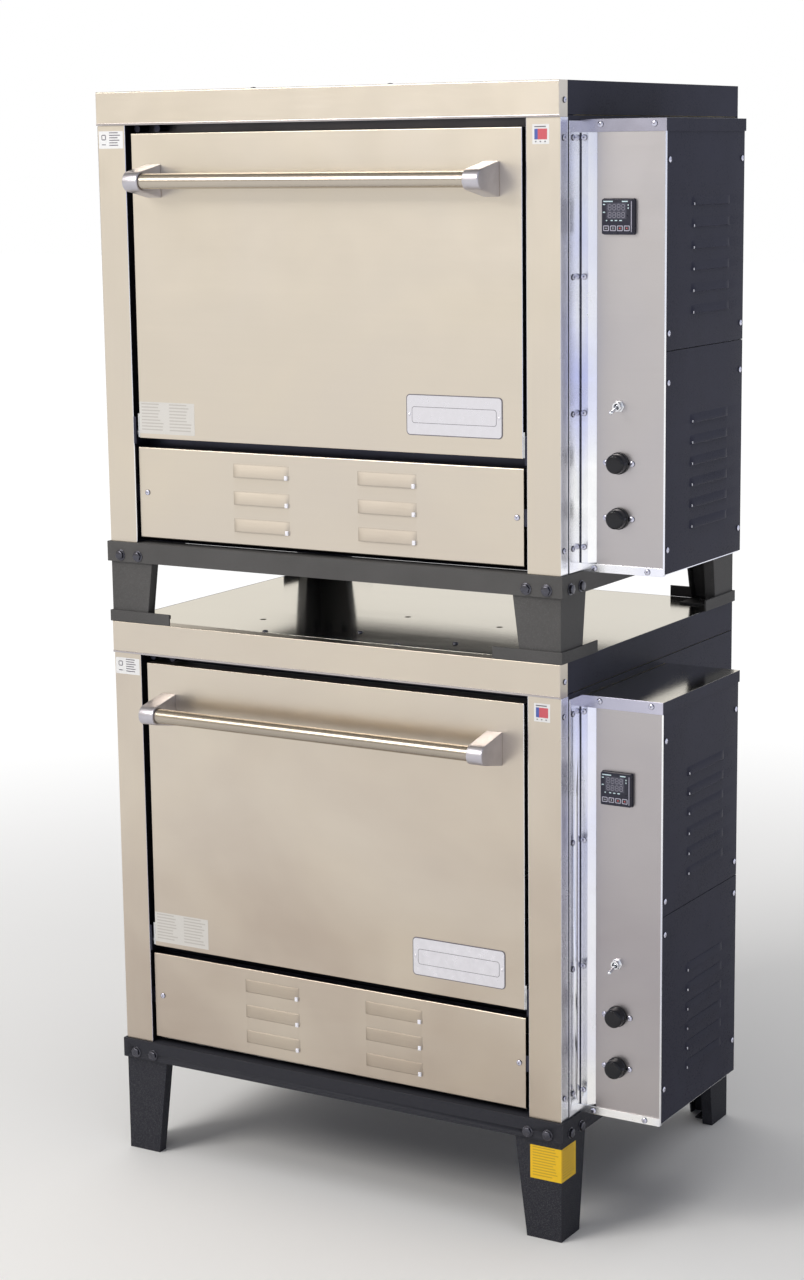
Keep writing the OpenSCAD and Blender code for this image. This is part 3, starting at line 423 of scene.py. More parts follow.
SEGMENT = plastic("unlit segment", (0.170, 0.165, 0.210), 0.4)
KEY_GREY = plastic("key frame", (0.40, 0.39, 0.48), 0.4)
INK = printed("ink", (0.16, 0.15, 0.18))
PALE_INK = printed("pale ink", (0.62, 0.78, 0.84))
FAINT_INK = printed("faint ink", (0.52, 0.49, 0.46))
WHITE_VINYL = printed("white vinyl", (0.82, 0.82, 0.83))
CLEAR_VINYL = printed("grey vinyl", (0.66, 0.64, 0.61))
YELLOW_VINYL = printed("yellow vinyl", (0.90, 0.56, 0.005))
AMBER_INK = printed("amber ink", (0.62, 0.38, 0.01))
RED_INK = printed("red ink", (0.62, 0.10, 0.13))
BLUE_INK = printed("blue ink", (0.07, 0.12, 0.42))
# Near-white material for the painted glints at the louvre ends.
GLINT = printed("painted glint", (0.92, 0.92, 1.0), 0.3)


# ---------------------------------------------------------------- mesh tools


def linked(name, data):
    """A new object in the scene that shows data."""
    thing = bpy.data.objects.new(name, data)
    bpy.context.scene.collection.objects.link(thing)
    return thing


def made(name, bm, body, slot, *materials, replaces=(), smooth=None):
    """Turns a bmesh into a piece that rides on a body. smooth is the angle, in degrees, that stays sharp."""
    mesh = bpy.data.meshes.new(name)
    bm.to_mesh(mesh)
    bm.free()
    for material in materials:
        mesh.materials.append(material)
    if smooth is not None:
        mesh.shade_smooth()
        mesh.set_sharp_from_angle(angle=math.radians(smooth))
    piece = linked(name, mesh)
    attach(piece, body)
    if replaces:
        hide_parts(*replaces)
    return piece


def cad_copy(node):
    """The node's mesh, welded and with its flats joined up."""
    bm = bmesh.new()
    bm.from_mesh(NODES[node].data)
    bmesh.ops.remove_doubles(bm, verts=bm.verts, dist=0.002 * MM)
    bmesh.ops.dissolve_limit(bm, angle_limit=math.radians(1), verts=bm.verts, edges=bm.edges)
    return bm


def round_edges(bm, width, segments=2, shortest=6.0, sharpest=40, where=None):
    """Rounds the convex edges that are at least shortest millimetres long and that where() accepts."""
    chosen = [
        e
        for e in bm.edges
        if len(e.link_faces) == 2
        and e.calc_face_angle_signed(0) > math.radians(sharpest)
        and e.calc_length() >= shortest * MM
        and (where is None or where(e.verts[0].co, e.verts[1].co))
    ]
    bmesh.ops.bevel(
        bm, geom=chosen, offset=width * MM, offset_type="OFFSET", segments=segments, profile=0.5,
        affect="EDGES", clamp_overlap=True,
    )


def rounded(node, slot, *materials, width=0.5, fold=None, fold_where=None, pick=None, shortest=6.0,
            smooth=None, segments=2):
    """Stands in for a CAD node: the same shape with folded edges rounded to fold and cut ones to width."""
    bm = cad_copy(node)
    if fold:
        round_edges(bm, fold, 4, shortest, where=fold_where)
    round_edges(bm, width, segments, shortest, sharpest=60)
    if pick:
        for face in bm.faces:
            face.material_index = pick(face.calc_center_median(), face.normal)
    made(node + ".rounded", bm, BODY_OF[node], slot, *materials, replaces=[node], smooth=smooth)


def block(bm, low, high, index=0):
    """A box between two corners."""
    low, high = Vector(low), Vector(high)
    made_box = bmesh.ops.create_cube(bm, size=1.0)
    size = high - low
    for v in made_box["verts"]:
        v.co = Vector(((low[i] + high[i]) / 2 + v.co[i] * size[i] for i in range(3)))
    for face in {f for v in made_box["verts"] for f in v.link_faces}:
        face.material_index = index


def lathe(bm, profile, origin, way, segments=48, index=0, turn=0.0):
    """Turns (radius, height) points, in millimetres, about the axis through origin that points along way."""
    spin = Z.rotation_difference(way)
    rings = []
    for radius, height in profile:
        on_axis = radius < 1e-6
        angles = [turn + 2 * math.pi * i / segments for i in range(1 if on_axis else segments)]
        rings.append([
            bm.verts.new(origin + spin @ (Vector((radius * math.cos(a), radius * math.sin(a), height)) * MM))
            for a in angles
        ])
    for low, high in zip(rings, rings[1:]):
        for i in range(segments):
            a, b = low[i % len(low)], low[(i + 1) % len(low)]
            c, d = high[(i + 1) % len(high)], high[i % len(high)]
            corners = [v for k, v in enumerate((a, b, c, d)) if v not in (a, b, c, d)[:k]]
            if len(corners) > 2:
                bm.faces.new(corners).material_index = index
    for ring, flip in ((rings[0], True), (rings[-1], False)):
        if len(ring) > 1:
            bm.faces.new(ring[::-1] if flip else ring).material_index = index


def prism(bm, outline, push, index=0):
    """A closed solid between an outline and the same outline pushed along a vector. Its first face is the
    pushed end."""
    back = [bm.verts.new(point) for point in outline]
    front = [bm.verts.new(point + push) for point in outline]
    faces = [bm.faces.new(front[::-1]), bm.faces.new(back)]
    faces += [bm.faces.new((back[i - 1], back[i], front[i], front[i - 1])) for i in range(len(outline))]
    for face in faces:
        face.material_index = index
    bmesh.ops.recalc_face_normals(bm, faces=faces)
    return faces


def arc(radius, centre, start, stop, steps):
    """(radius, height) points along an arc, angles in degrees."""
    angles = [math.radians(start + (stop - start) * i / steps) for i in range(steps + 1)]
    return [(centre[0] + radius * math.cos(a), centre[1] + radius * math.sin(a)) for a in angles]


# ---------------------------------------------------------------- louvred sheets

# Mesh steps along and up one louvre, and how far its rounded ends reach in, in millimetres
LOUVRE_STEPS = (18, 10)
LOUVRE_END = 9.0


def hood(s, t, length):
    """How far out a louvre stands, 0 to 1: s millimetres from its end, and at t, 0 at its top and 1 at its
    lip."""
    end_power, top_power = 0.8, 1.8
    ends = min(1.0, s / LOUVRE_END, (length - s) / LOUVRE_END)
    return math.sin(ends * math.pi / 2) ** end_power * (1 - (1 - t) ** top_power)


# Material slots of a pressed sheet, besides 0 for its face. Slot 1 is for the returns folded back behind it,
# drawn in dark steel as painted shade.
SHADED_RETURN, PRESSED = 1, 2


def louvre_lines(start, length, steps, ease=False):
    """Grid lines across one louvre, closer together towards both ends where ease is set."""
    shares = [i / steps for i in range(steps + 1)]
    if ease:
        shares = [(1 - math.cos(math.pi * s)) / 2 for s in shares]
    return [round(start + length * s, 4) for s in shares]


def pressed_sheet(bm, origin, along, up, out, width, profile, louvres, size):
    """A sheet with pressed louvres. In millimetres, profile is its section as (height, stand-off) points,
    louvres the (along, up) places of their lower left corners, and size their length, height and depth."""
    length, height, depth = size
    across, upward = LOUVRE_STEPS
    pressed_us = {u for at, _ in louvres for u in louvre_lines(at, length, across, True)}
    us = sorted({0.0, round(width, 4)} | pressed_us)
    face = [p for p in profile if p[1] == 0]
    vs = sorted({p[0] for p in face} | {v for _, at in louvres for v in louvre_lines(at, height, upward)})
    first = profile.index(face[0])
    section = profile[:first] + [(v, 0) for v in vs] + profile[first + len(face):]
    verts = {}

    def inside(u, v):
        for at_u, at_v in louvres:
            if at_u <= u <= at_u + length and at_v <= v <= at_v + height:
                return u - at_u, 1 - (v - at_v) / height
        return None

    def vertex(i, k, pressed):
        u, (v, stand) = us[i], section[k]
        spot = inside(u, v) if pressed else None
        lift = hood(*spot, length) * depth if spot else 0.0
        key = (i, k, round(lift, 6))
        if key not in verts:
            point = origin + along * (u * MM) + up * (v * MM) + out * ((stand + lift) * MM)
            verts[key] = bm.verts.new(point)
        return verts[key]

    for i in range(len(us) - 1):
        for k in range(len(section) - 1):
            middle = ((us[i] + us[i + 1]) / 2, (section[k][0] + section[k + 1][0]) / 2)
            pressed = section[k][1] == 0 and section[k + 1][1] == 0 and inside(*middle) is not None
            corners = [vertex(i, k, pressed), vertex(i + 1, k, pressed),
                       vertex(i + 1, k + 1, pressed), vertex(i, k + 1, pressed)]
            folded_back = max(section[k][1], section[k + 1][1]) < -1
            face = bm.faces.new(corners)
            face.material_index = SHADED_RETURN if folded_back else PRESSED if pressed else 0
    bmesh.ops.recalc_face_normals(bm, faces=bm.faces)
    some = max(bm.faces, key=lambda f: f.calc_area())
    if some.normal.dot(out) < 0:
        bmesh.ops.reverse_faces(bm, faces=bm.faces)


def louvre_glints(name, parts, offset, size):
    """A small near-white block at one end of every louvre: a painted glint where its end catches the light.
    In millimetres, offset is its place along the louvre and up from its lip, and size its length, height and
    depth."""
    bm = bmesh.new()
    for origin, along, up, out, _, _, louvres, (_, _, depth) in parts:
        for u, v in louvres:
            corner = origin + along * ((u + offset[0]) * MM) + up * ((v + offset[1]) * MM)
            near = corner + out * ((depth - size[2]) * MM)
            far = corner + along * (size[0] * MM) + up * (size[1] * MM) + out * (depth * MM)
            block(bm, [min(a, b) for a, b in zip(near, far)], [max(a, b) for a, b in zip(near, far)])
    round_edges(bm, 0.45, 3, 0.5)
    made(name, bm, "root", "plated_steel", GLINT, smooth=40)


def sheet_piece(name, parts, slot, material, pressed_material, node, thickness):
    """A piece of one or more pressed sheets, given its thickness inwards."""
    bm = bmesh.new()
    for part in parts:
        single = bmesh.new()
        pressed_sheet(single, *part)
        spare = bpy.data.meshes.new("spare")
        single.to_mesh(spare)
        single.free()
        bm.from_mesh(spare)
        bpy.data.meshes.remove(spare)
    # Slot 1, the folded-back returns, takes the dark steel: painted shade.
    piece = made(name, bm, "root", slot, material, SHADE_STEEL, pressed_material, replaces=[node], smooth=35)
    solid = piece.modifiers.new("thickness", "SOLIDIFY")
    solid.thickness = thickness * MM
    solid.offset = -1
    solid.use_even_offset = True
    normals = piece.modifiers.new("flat_faces_first", "WEIGHTED_NORMAL")
    normals.keep_sharp = True


def fold(radius, deep, height, steps=4):
    """Section of a sheet folded back at both edges: (height, stand-off) points from bottom to top."""
    low = [(0.0, -deep)] + [
        (radius * (1 - math.cos(a)), radius * (math.sin(a) - 1))
        for a in (math.pi / 2 * i / steps for i in range(steps))
    ] + [(radius, 0)]
    return low + [(height - v, w) for v, w in reversed(low)]


# Where the louvres are, in one oven's millimetres, and each one's length, height and depth. The side covers'
# are given by the bottom louvre of each of the two covers.
KICK_LOUVRES = dict(x=(222, 435), z=207, pitch=40, size=(97, 20, 3.4), count=3)
SIDE_LOUVRES = dict(y=137, z={"upper": (236, 529), "lower": (238, 525)}, pitch=29, size=(125, 13, 2.6),
                    count=6)
KICK_SHEET_Y, KICK_RETURN = 6, 15.5
SIDE_STAND_OFF, COVER_SEAM_Z = 6, 484.2


def kick_panel(tier, name):
    node = name + "_kick_panel"
    low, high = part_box(node)
    width, height = (high.x - low.x) / MM, (high.z - low.z) / MM
    x0, z0 = (low.x - LEFT) / MM, (low.z - tier * PITCH) / MM
    louvres = [
        (x - x0, KICK_LOUVRES["z"] - z0 + i * KICK_LOUVRES["pitch"])
        for x in KICK_LOUVRES["x"]
        for i in range(KICK_LOUVRES["count"])
    ]
    corner = Vector((low.x, FRONT + KICK_SHEET_Y * MM, low.z))
    part = (corner, X, Z, -Y, width, fold(2.0, KICK_RETURN, height), louvres, KICK_LOUVRES["size"])
    sheet_piece(name + "_louvred_kick_panel", [part], "stainless_front", STEEL_X, PRESSED_STEEL, node, 1.2)
    louvre_glints(name + "_kick_louvre_glints", [part], (90.5, 0.2), (5.0, 6.5, 2.8))


def side_covers(tier, name):
    node = name + "_side_covers"
    low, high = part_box(node)
    seam, half_gap = tier * PITCH + COVER_SEAM_Z * MM, 0.5 * MM
    along = SIDE_LOUVRES["y"] - (low.y - FRONT) / MM
    parts = []
    starts, stops = (low.z, seam + half_gap), (seam - half_gap, high.z)
    for start, stop, first in zip(starts, stops, SIDE_LOUVRES["z"][name]):
        lowest = first - (start - tier * PITCH) / MM
        places = [(along, lowest + i * SIDE_LOUVRES["pitch"]) for i in range(SIDE_LOUVRES["count"])]
        corner = Vector((high.x - SIDE_STAND_OFF * MM, low.y, start))
        flat = [(0.0, 0), ((stop - start) / MM, 0)]
        parts.append((corner, Y, Z, X, (high.y - low.y) / MM, flat, places, SIDE_LOUVRES["size"]))
    sheet_piece(name + "_louvred_side_covers", parts, "gloss_black_paint", GLOSS_BLACK, GLOSS_BLACK, node,
                1.5)
    louvre_glints(name + "_side_louvre_glints", parts, (4.0, 1.0), (1.6, 3.4, 1.8))


# ---------------------------------------------------------------- shell and base


NEAR = 0.05 * MM


def shell(name):
    """Folded sheets of one oven's outside, with rounded folds and cut edges."""
    cap_low, cap_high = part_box(name + "_cap_trim")

    def outer_fold(a, b):
        on_front = a.y < cap_low.y + NEAR and b.y < cap_low.y + NEAR
        return on_front and (min(a.z, b.z) > cap_high.z - NEAR or abs(a.x - b.x) < NEAR)

    rounded(name + "_cap_trim", "stainless_front", STEEL_X, width=0.4, fold=1.4, fold_where=outer_fold)
    # The hem strip along the cap's lower edge takes the darker hem steel, as painted shade.
    hem_height, proud = 3.2 * MM, 0.3 * MM
    hem = bmesh.new()
    block(hem, cap_low + Vector((proud, -proud, 0)),
          (cap_high.x - proud, cap_low.y + 0.2 * MM, cap_low.z + hem_height))
    round_edges(hem, 0.12, 2, 6.0)
    made(name + "_cap_hem", hem, "root", "stainless_front", HEM_SHADE_STEEL, smooth=30)
    rounded(name + "_top_cover", "roof_steel", ROOF, width=0.3)
    rounded(name + "_base_frame", "black_paint", BLACK, width=0.9)
    skin_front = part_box(name + "_door_skin")[0].y
    # Faces of the door skin that turn right take the bright steel: a painted highlight along the door's right
    # edge.
    rounded(
        name + "_door_skin", "stainless_front", STEEL_X, PAINTED_SHEEN_STEEL, width=0.3, fold=1.1,
        fold_where=lambda a, b: max(a.y, b.y) < skin_front + NEAR,
        pick=lambda centre, normal: int(normal.x > 0.35),
    )


def upright_fold_at(front):
    """Accepts the long upright edges of a sheet whose face is at front."""
    return lambda a, b: max(a.y, b.y) < front + NEAR and abs(a.z - b.z) > 50 * MM


def control_box_skin(name):
    """Chassis in bright steel, as painted reflection; the lid's and the tray's front lips in darker copies of
    it, as painted shade; the lid's top in roof steel, and its side and rear lips in black enamel.
    """
    low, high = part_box(name + "_control_box")
    body_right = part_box("side_panels")[1].x
    lid_lip, tray_lip, flange = 18 * MM, 12 * MM, 10 * MM

    def finish_of(centre, normal):
        if centre.z > high.z - lid_lip and centre.x > body_right + flange:
            if normal.z > 0.5:
                return 4
            return 1 if normal.y < -0.5 else 2
        if centre.z < low.z + tray_lip and centre.y < low.y + tray_lip:
            return 3
        return 0

    rounded(name + "_control_box", "bright_steel", PAINTED_SHEEN_STEEL, LID_STEEL, GLOSS_BLACK, TRAY_STEEL, ROOF,
            width=0.4, pick=finish_of)
    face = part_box(name + "_control_panel")[0].y
    # Faces of the control panel that turn right take the bright steel: a painted highlight on its right
    # return.
    rounded(
        name + "_control_panel", "stainless_front", PANEL_STEEL, PAINTED_SHEEN_STEEL, width=0.25, fold=1.2,
        fold_where=upright_fold_at(face), pick=lambda centre, normal: int(normal.x > 0.2),
    )
    # A thin dark strip in the corner between the body's side and the control panel: painted shade for the gap
    # there.
    seam = bmesh.new()
    block(seam, (body_right + 0.2 * MM, face - 0.4 * MM, low.z + 3 * MM),
          (body_right + 3.2 * MM, face + 0.2 * MM, high.z - 17.5 * MM))
    made(name + "_box_seam_shade", seam, "root", "gloss_black_paint", SHADE_STEEL)


def shared_shell():
    posts_low, posts_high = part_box("corner_posts")
    face_depth = 1.6 * MM

    def post_finish(centre, normal):
        """Bright steel on the outer returns and on the front edges that turn sideways, as painted reflection,
        and dark steel inside the gaps beside the door and the kick panel, as painted shade.
        """
        outer = min(centre.x - posts_low.x, posts_high.x - centre.x) < 3 * MM
        behind = centre.y > posts_low.y + face_depth
        if abs(normal.x) > (0.7 if outer else 0.35) and (outer or centre.y < posts_low.y + face_depth):
            return 1
        return 2 if behind and not outer else 0

    rounded("corner_posts", "stainless_front", STEEL_Z, PAINTED_SHEEN_STEEL, SHADE_STEEL, width=0.3, fold=1.2,
            fold_where=upright_fold_at(posts_low.y), pick=post_finish)
    for node, slot, material, width in (
        ("side_panels", "gloss_black_paint", GLOSS_BLACK, 0.3),
        ("rear_and_bottom_panels", "gloss_black_paint", GLOSS_BLACK, 0.3),
        ("legs", "black_paint", BLACK, 0.7),
        ("leg_cups", "black_paint", BLACK, 0.7),
    ):
        rounded(node, slot, material, width=width)


# ---------------------------------------------------------------- handles and plates


def handles(name):
    low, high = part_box(name + "_handle_tube")
    centre_y, centre_z = (low.y + high.y) / 2, (low.z + high.z) / 2
    radius, length = (high.y - low.y) / 2 / MM, (high.x - low.x) / MM
    bm = bmesh.new()
    lathe(bm, [(radius - 0.5, 0), (radius, 0.5), (radius, length - 0.5), (radius - 0.5, length)],
          Vector((low.x, centre_y, centre_z)), X, 72)
    made(name + "_handle_bar", bm, BODY_OF[name + "_handle_tube"], "bright_steel", TUBE_STEEL,
         replaces=[name + "_handle_tube"], smooth=40)
    rounded(name + "_handle_brackets", "cast_aluminium", CAST, width=1.6, shortest=0.0, smooth=38, segments=4)


def rounded_plate(bm, low, high, corner, deep, back, index=0, steps=6):
    """A plate with rounded corners in the XZ plane, standing out by deep towards -Y from back."""
    centres = [
        (high.x - corner, high.z - corner, 0), (low.x + corner, high.z - corner, 90),
        (low.x + corner, low.z + corner, 180), (high.x - corner, low.z + corner, 270),
    ]
    angles = [90 * i / steps for i in range(steps + 1)]
    outline = [
        Vector((cx + corner * math.cos(math.radians(start + a)), back,
                cz + corner * math.sin(math.radians(start + a))))
        for cx, cz, start in centres
        for a in angles
    ]
    return prism(bm, outline, -Y * deep, index)


def nameplate(name):
    """Blank plate: dark keyline, raised bright field with an inner frame line, and two rivets."""
    node = name + "_nameplate"
    low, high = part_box(node)
    back = high.y
    bm = bmesh.new()
    rounded_plate(bm, low, high, 6 * MM, 0.7 * MM, back, 1)
    inset = Vector((1.3 * MM, 0, 1.3 * MM))
    rounded_plate(bm, low + inset, high - inset, 5 * MM, 1.0 * MM, back, 0)
    frame_in, line = 9 * MM, 0.7 * MM
    middle_low = Vector((low.x + frame_in, 0, low.z + 17 * MM))
    middle_high = Vector((high.x - frame_in, 0, high.z - 17 * MM))
    step = Vector((line, 0, line))
    rounded_plate(bm, middle_low, middle_high, 4 * MM, 1.05 * MM, back, 1)
    rounded_plate(bm, middle_low + step, middle_high - step, 3.4 * MM, 1.1 * MM, back, 0)
    for x in (low.x + 5 * MM, high.x - 5 * MM):
        lathe(bm, [(2.2, 0), (2.2, 0.3), (1.7, 0.7), (0.9, 0.95), (0, 1.0)],
              Vector((x, back - 1.0 * MM, (low.z + high.z) / 2)), -Y, 20, 0)
    made(name + "_blank_nameplate", bm, BODY_OF[node], "plate_aluminium", PLATE, INK, replaces=[node],
         smooth=30)


def label(name, body, origin, along, out, size, columns, rows, materials, marks=(), seed=1):
    """A blank sticker with plain bars where lines of print would be. columns are the (start, stop) of each
    column of bars, and marks are extra blocks as (x, z, width, height, material index)."""
    thick, ink, layer_step = 0.15 * MM, 0.22 * MM, 0.03 * MM
    shortest_bar, bar_share, top_margin = 0.72, 0.38, 0.85
    width, height = size
    bm = bmesh.new()
    draw = random.Random(seed)

    def slab(x0, z0, x1, z1, deep, index):
        corners = (x0, z0), (x1, z0), (x1, z1), (x0, z1)
        prism(bm, [origin + along * (x * MM) + Z * (z * MM) for x, z in corners], out * deep, index)

    slab(0, 0, width, height, thick, 0)
    pitch = height / (rows + 1)
    for start, stop in columns:
        for row in range(rows):
            z = height - pitch * (row + top_margin)
            end = start + (stop - start) * draw.uniform(shortest_bar, 1.0)
            slab(start, z, end, z + pitch * bar_share, ink, 1)
    for layer, (x, z, w, h, index) in enumerate(marks):
        slab(x, z, x + w, z + h, ink + layer * layer_step, index)
    made(name, bm, body, "plate_aluminium", *materials)


def labels(tier, name):
    skin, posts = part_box(name + "_door_skin")[0].y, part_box("corner_posts")[0].y

    def corner(x, z, y):
        point = place(tier, x, 0, z)
        point.y = y
        return point

    label(name + "_door_label", BODY_OF[name + "_door_skin"], corner(60.8, 345, skin), X, -Y, (99, 47),
          [(4, 44), (54, 94)], 9, (CLEAR_VINYL, FAINT_INK), seed=3 + tier)
    stamp = [(6, 12, 6, 8, 1), (5, 13, 8, 6, 1), (6.4, 13.4, 5.2, 5.2, 0), (5.4, 5, 7, 1.2, 1)]
    label(name + "_left_post_label", "root", corner(2, 760, posts), X, -Y, (44, 25), [(19, 39)], 6,
          (WHITE_VINYL, INK), stamp, seed=7 + tier)
    blocks = [(3, 6, 19, 14, 1), (3, 6, 5, 14, 2), (3, 22, 17, 1.5, 3)]
    blocks += [(x, 2.5, 2, 1.5, 3) for x in (4, 11, 18)]
    label(name + "_right_post_label", "root", corner(720, 758, posts), X, -Y, (25, 26), [], 0,
          (WHITE_VINYL, RED_INK, BLUE_INK, INK), blocks)


def leg_label():
    """Blank yellow label round the corner of the lower right front leg."""
    low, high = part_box("legs")
    width, wrap, height, foot = 50, 44, 50, 90 * MM
    for side, origin, along, out, length in (
        ("front", Vector((high.x - width * MM, low.y, foot)), X, -Y, width),
        ("side", Vector((high.x, low.y, foot)), Y, X, wrap),
    ):
        label("leg_label_" + side, "root", origin, along, out, (length, height), [(4, length - 4)], 11,
              (YELLOW_VINYL, AMBER_INK), seed=11)


# ---------------------------------------------------------------- controls


def knob(name, which):
    """Domed knob with a low skirt and a moulded pointer rib."""
    node = f"{name}_{which}_heat_knob"
    low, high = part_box(node)
    back = high.y - 16 * MM
    centre = Vector(((low.x + high.x) / 2, back, (low.z + high.z) / 2))
    bm = bmesh.new()
    dome = arc(4.2, (9.2, 11.6), 0, 90, 8)
    lathe(bm, [(0, 0), (14.6, 0), (15, 0.4), (15, 2.2), (14.5, 2.9), (13.9, 3.2), (13.6, 8.0)] + dome
          + [(6.0, 16.0), (0, 16.0)], centre, -Y, 64)
    lathe(bm, [(3, -16), (3, 0.5)], centre, -Y, 24, 1)
    rib_low, rib_high = Vector((-1.0, -15.95, 4.0)), Vector((1.0, -12.5, 12.6))
    block(bm, centre + rib_low * MM, centre + rib_high * MM)
    made(f"{name}_{which}_heat_dial_knob", bm, BODY_OF[node], "gloss_black_plastic", SHINY_PLASTIC, ZINC,
         replaces=[node], smooth=32)


def toggle(tier, name):
    """Bat lever on its ball and pin, tilted as the CAD lever is."""
    node = name + "_toggle_lever"
    low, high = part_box(node)
    pivot = place(tier, 0, 51.5, 409)
    pivot.x = (low.x + high.x) / 2
    tilt = math.radians(17)
    way = Vector((0, -math.cos(tilt), -math.sin(tilt)))
    bm = bmesh.new()
    tip = arc(3.0, (0, 22.0), -25, 90, 10)
    ball = arc(3.6, (0, 0), -90, 55, 10)
    lathe(bm, ball[:-1] + [(1.9, 3.2), (2.0, 6), (2.35, 14)] + tip[:-1] + [(0, 25.0)], pivot, way, 32)
    lathe(bm, [(1.2, -3.9), (1.2, 3.9)], pivot, X, 16)
    made(name + "_bat_lever", bm, BODY_OF[node], "chrome_plate", CHROME, replaces=[node], smooth=40)


# How far right the controllers are
DIAL_X = 822


def bezel(bm, centre):
    """The instrument's square body behind the panel, and its bezel with a broad chamfer in front."""
    for half, corner, deep, back in ((22.4, 1, 74.0, 130.0), (24, 2, 1.2, 54.9), (23.4, 2.2, 6.9, 53.8)):
        reach = Vector((half * MM, 0, half * MM))
        faces = rounded_plate(bm, centre - reach, centre + reach, corner * MM, deep * MM, FRONT + back * MM)
    bmesh.ops.bevel(
        bm, geom=list(faces[0].edges), offset=2.4 * MM, segments=3, profile=0.6, affect="EDGES",
        clamp_overlap=True,
    )


def bars(bm, centre, front, deep, rows, index):
    """Thin raised bars on the instrument: rows of (x, z, width, height) in millimetres from its centre."""
    for x, z, w, h in rows:
        block(bm, (centre.x + x * MM, front - deep * MM, centre.z + z * MM),
              (centre.x + (x + w) * MM, front + 0.3 * MM, centre.z + (z + h) * MM), index)


def digit(x, z, w, h, t):
    """The seven bars of one unlit digit."""
    middle = z + h / 2
    return [
        (x + t, z, w - 2 * t, t), (x + t, middle - t / 2, w - 2 * t, t), (x + t, z + h - t, w - 2 * t, t),
        (x, z + t, t, h / 2 - 1.5 * t), (x, middle + t / 2, t, h / 2 - 1.5 * t),
        (x + w - t, z + t, t, h / 2 - 1.5 * t), (x + w - t, middle + t / 2, t, h / 2 - 1.5 * t),
    ]


# On a controller's face, as (x, z, width, height) in millimetres from its centre
DISPLAY = [(-15.5, -3.0, 29.0, 21.0)]
DIGITS = [
    bar
    for z, height in ((8.2, 8.4), (-1.8, 8.0))
    for i in range(4)
    for bar in digit(-13.6 + i * 6.6, z, 5.2, height, 0.9)
]
PRINTS = [
    (-20.5, 19.2, 14, 1.5), (7, 19.2, 8.5, 1.5), (-21.0, 15.2, 3.2, 1.4), (-21.0, 5.0, 3.2, 1.4),
    (-16.5, -5.8, 1.8, 1.4), (-9.5, -5.8, 3.0, 1.4), (-3.5, -5.8, 3.6, 1.4), (3.2, -5.8, 3.8, 1.4),
    (15.6, 14.2, 1.3, 2.0), (15.6, 10.2, 1.3, 2.0),
]
# A pale bar down the right of the face: painted highlight.
SIDE_HIGHLIGHT = [(20.4, -20, 0.9, 40)]


def instruments():
    """Both controllers, with everything printed on or set into their faces, and a pale bar down the right of
    each face as a painted highlight.
    """
    face = FRONT + 46.9 * MM
    bm = bmesh.new()
    for tier in range(len(TIERS)):
        centre = place(tier, DIAL_X, 0, 662)
        bezel(bm, centre)
        layers = (0.12, DISPLAY), (0.18, DIGITS), (0.15, PRINTS), (0.16, SIDE_HIGHLIGHT)
        for index, (deep, rows) in enumerate(layers, 1):
            bars(bm, centre, face, deep, rows, index)
    made("controllers_with_faces", bm, "root", "matte_black_plastic", BEZEL, WINDOW, SEGMENT, PALE_INK,
         KEY_GREY, replaces=["temperature_controllers"], smooth=30)


# Width and height of the mark on each of the four keys, in millimetres
KEY_MARKS = ((3.4, 0.8), (0.9, 2.8), (1.7, 1.7), (1.7, 1.7))


def push_keys(name):
    for i in range(4):
        node = f"{name}_key_{i + 1}"
        low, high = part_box(node)
        bm = bmesh.new()
        rounded_plate(bm, low, high, 1.2 * MM, high.y - low.y - 0.15 * MM, high.y, 0)
        inset = Vector((1.0 * MM, 0, 1.0 * MM))
        rounded_plate(bm, low + inset, high - inset, 0.8 * MM, high.y - low.y - 0.1 * MM, high.y, 1)
        middle = (low + high) / 2
        mark = Vector((KEY_MARKS[i][0] / 2 * MM, 0, KEY_MARKS[i][1] / 2 * MM))
        block(bm, middle - mark + Vector((0, low.y - middle.y, 0)), middle + mark, 2)
        made(f"{name}_push_key_{i + 1}_cap", bm, BODY_OF[node], "key_plastic", KEY_GREY, MATTE_PLASTIC,
             RED_INK if i > 1 else KEY_GREY, replaces=[node], smooth=30)


# ---------------------------------------------------------------- fasteners


def cross_recess(bm, origin, way, turn):
    """The cross of a screw's head: two dark bars that taper up to its crown, painted shade in place of a
    recess.
    """
    length, half, low, high, taper = 1.7 * MM, 0.30 * MM, 1.5 * MM, 2.23 * MM, 0.75
    spin = way.to_track_quat("Z", "Y") @ Quaternion(Z, turn)
    ends = [(x * length, y * half) for x, y in ((-1, -1), (1, -1), (1, 1), (-1, 1))]
    for quarter in range(2):
        q = spin @ Quaternion(Z, quarter * math.pi / 2)
        top = [bm.verts.new(origin + q @ Vector((x * taper, y, high))) for x, y in ends]
        bottom = [bm.verts.new(origin + q @ Vector((x, y, low))) for x, y in ends]
        faces = [bm.faces.new(top)]
        faces += [bm.faces.new((bottom[i - 1], bottom[i], top[i], top[i - 1])) for i in range(4)]
        for face in faces:
            face.material_index = 2


def islands(mesh):
    """Vertex groups of a mesh's separate solids, as lists of points."""
    bm = bmesh.new()
    bm.from_mesh(mesh)
    bmesh.ops.remove_doubles(bm, verts=bm.verts, dist=0.002 * MM)
    seen, found = set(), []
    for start in bm.verts:
        if start in seen:
            continue
        queue, points = [start], []
        seen.add(start)
        while queue:
            v = queue.pop()
            points.append(v.co.copy())
            for e in v.link_edges:
                other = e.other_vert(v)
                if other not in seen:
                    seen.add(other)
                    queue.append(other)
        found.append(points)
    bm.free()
    return found


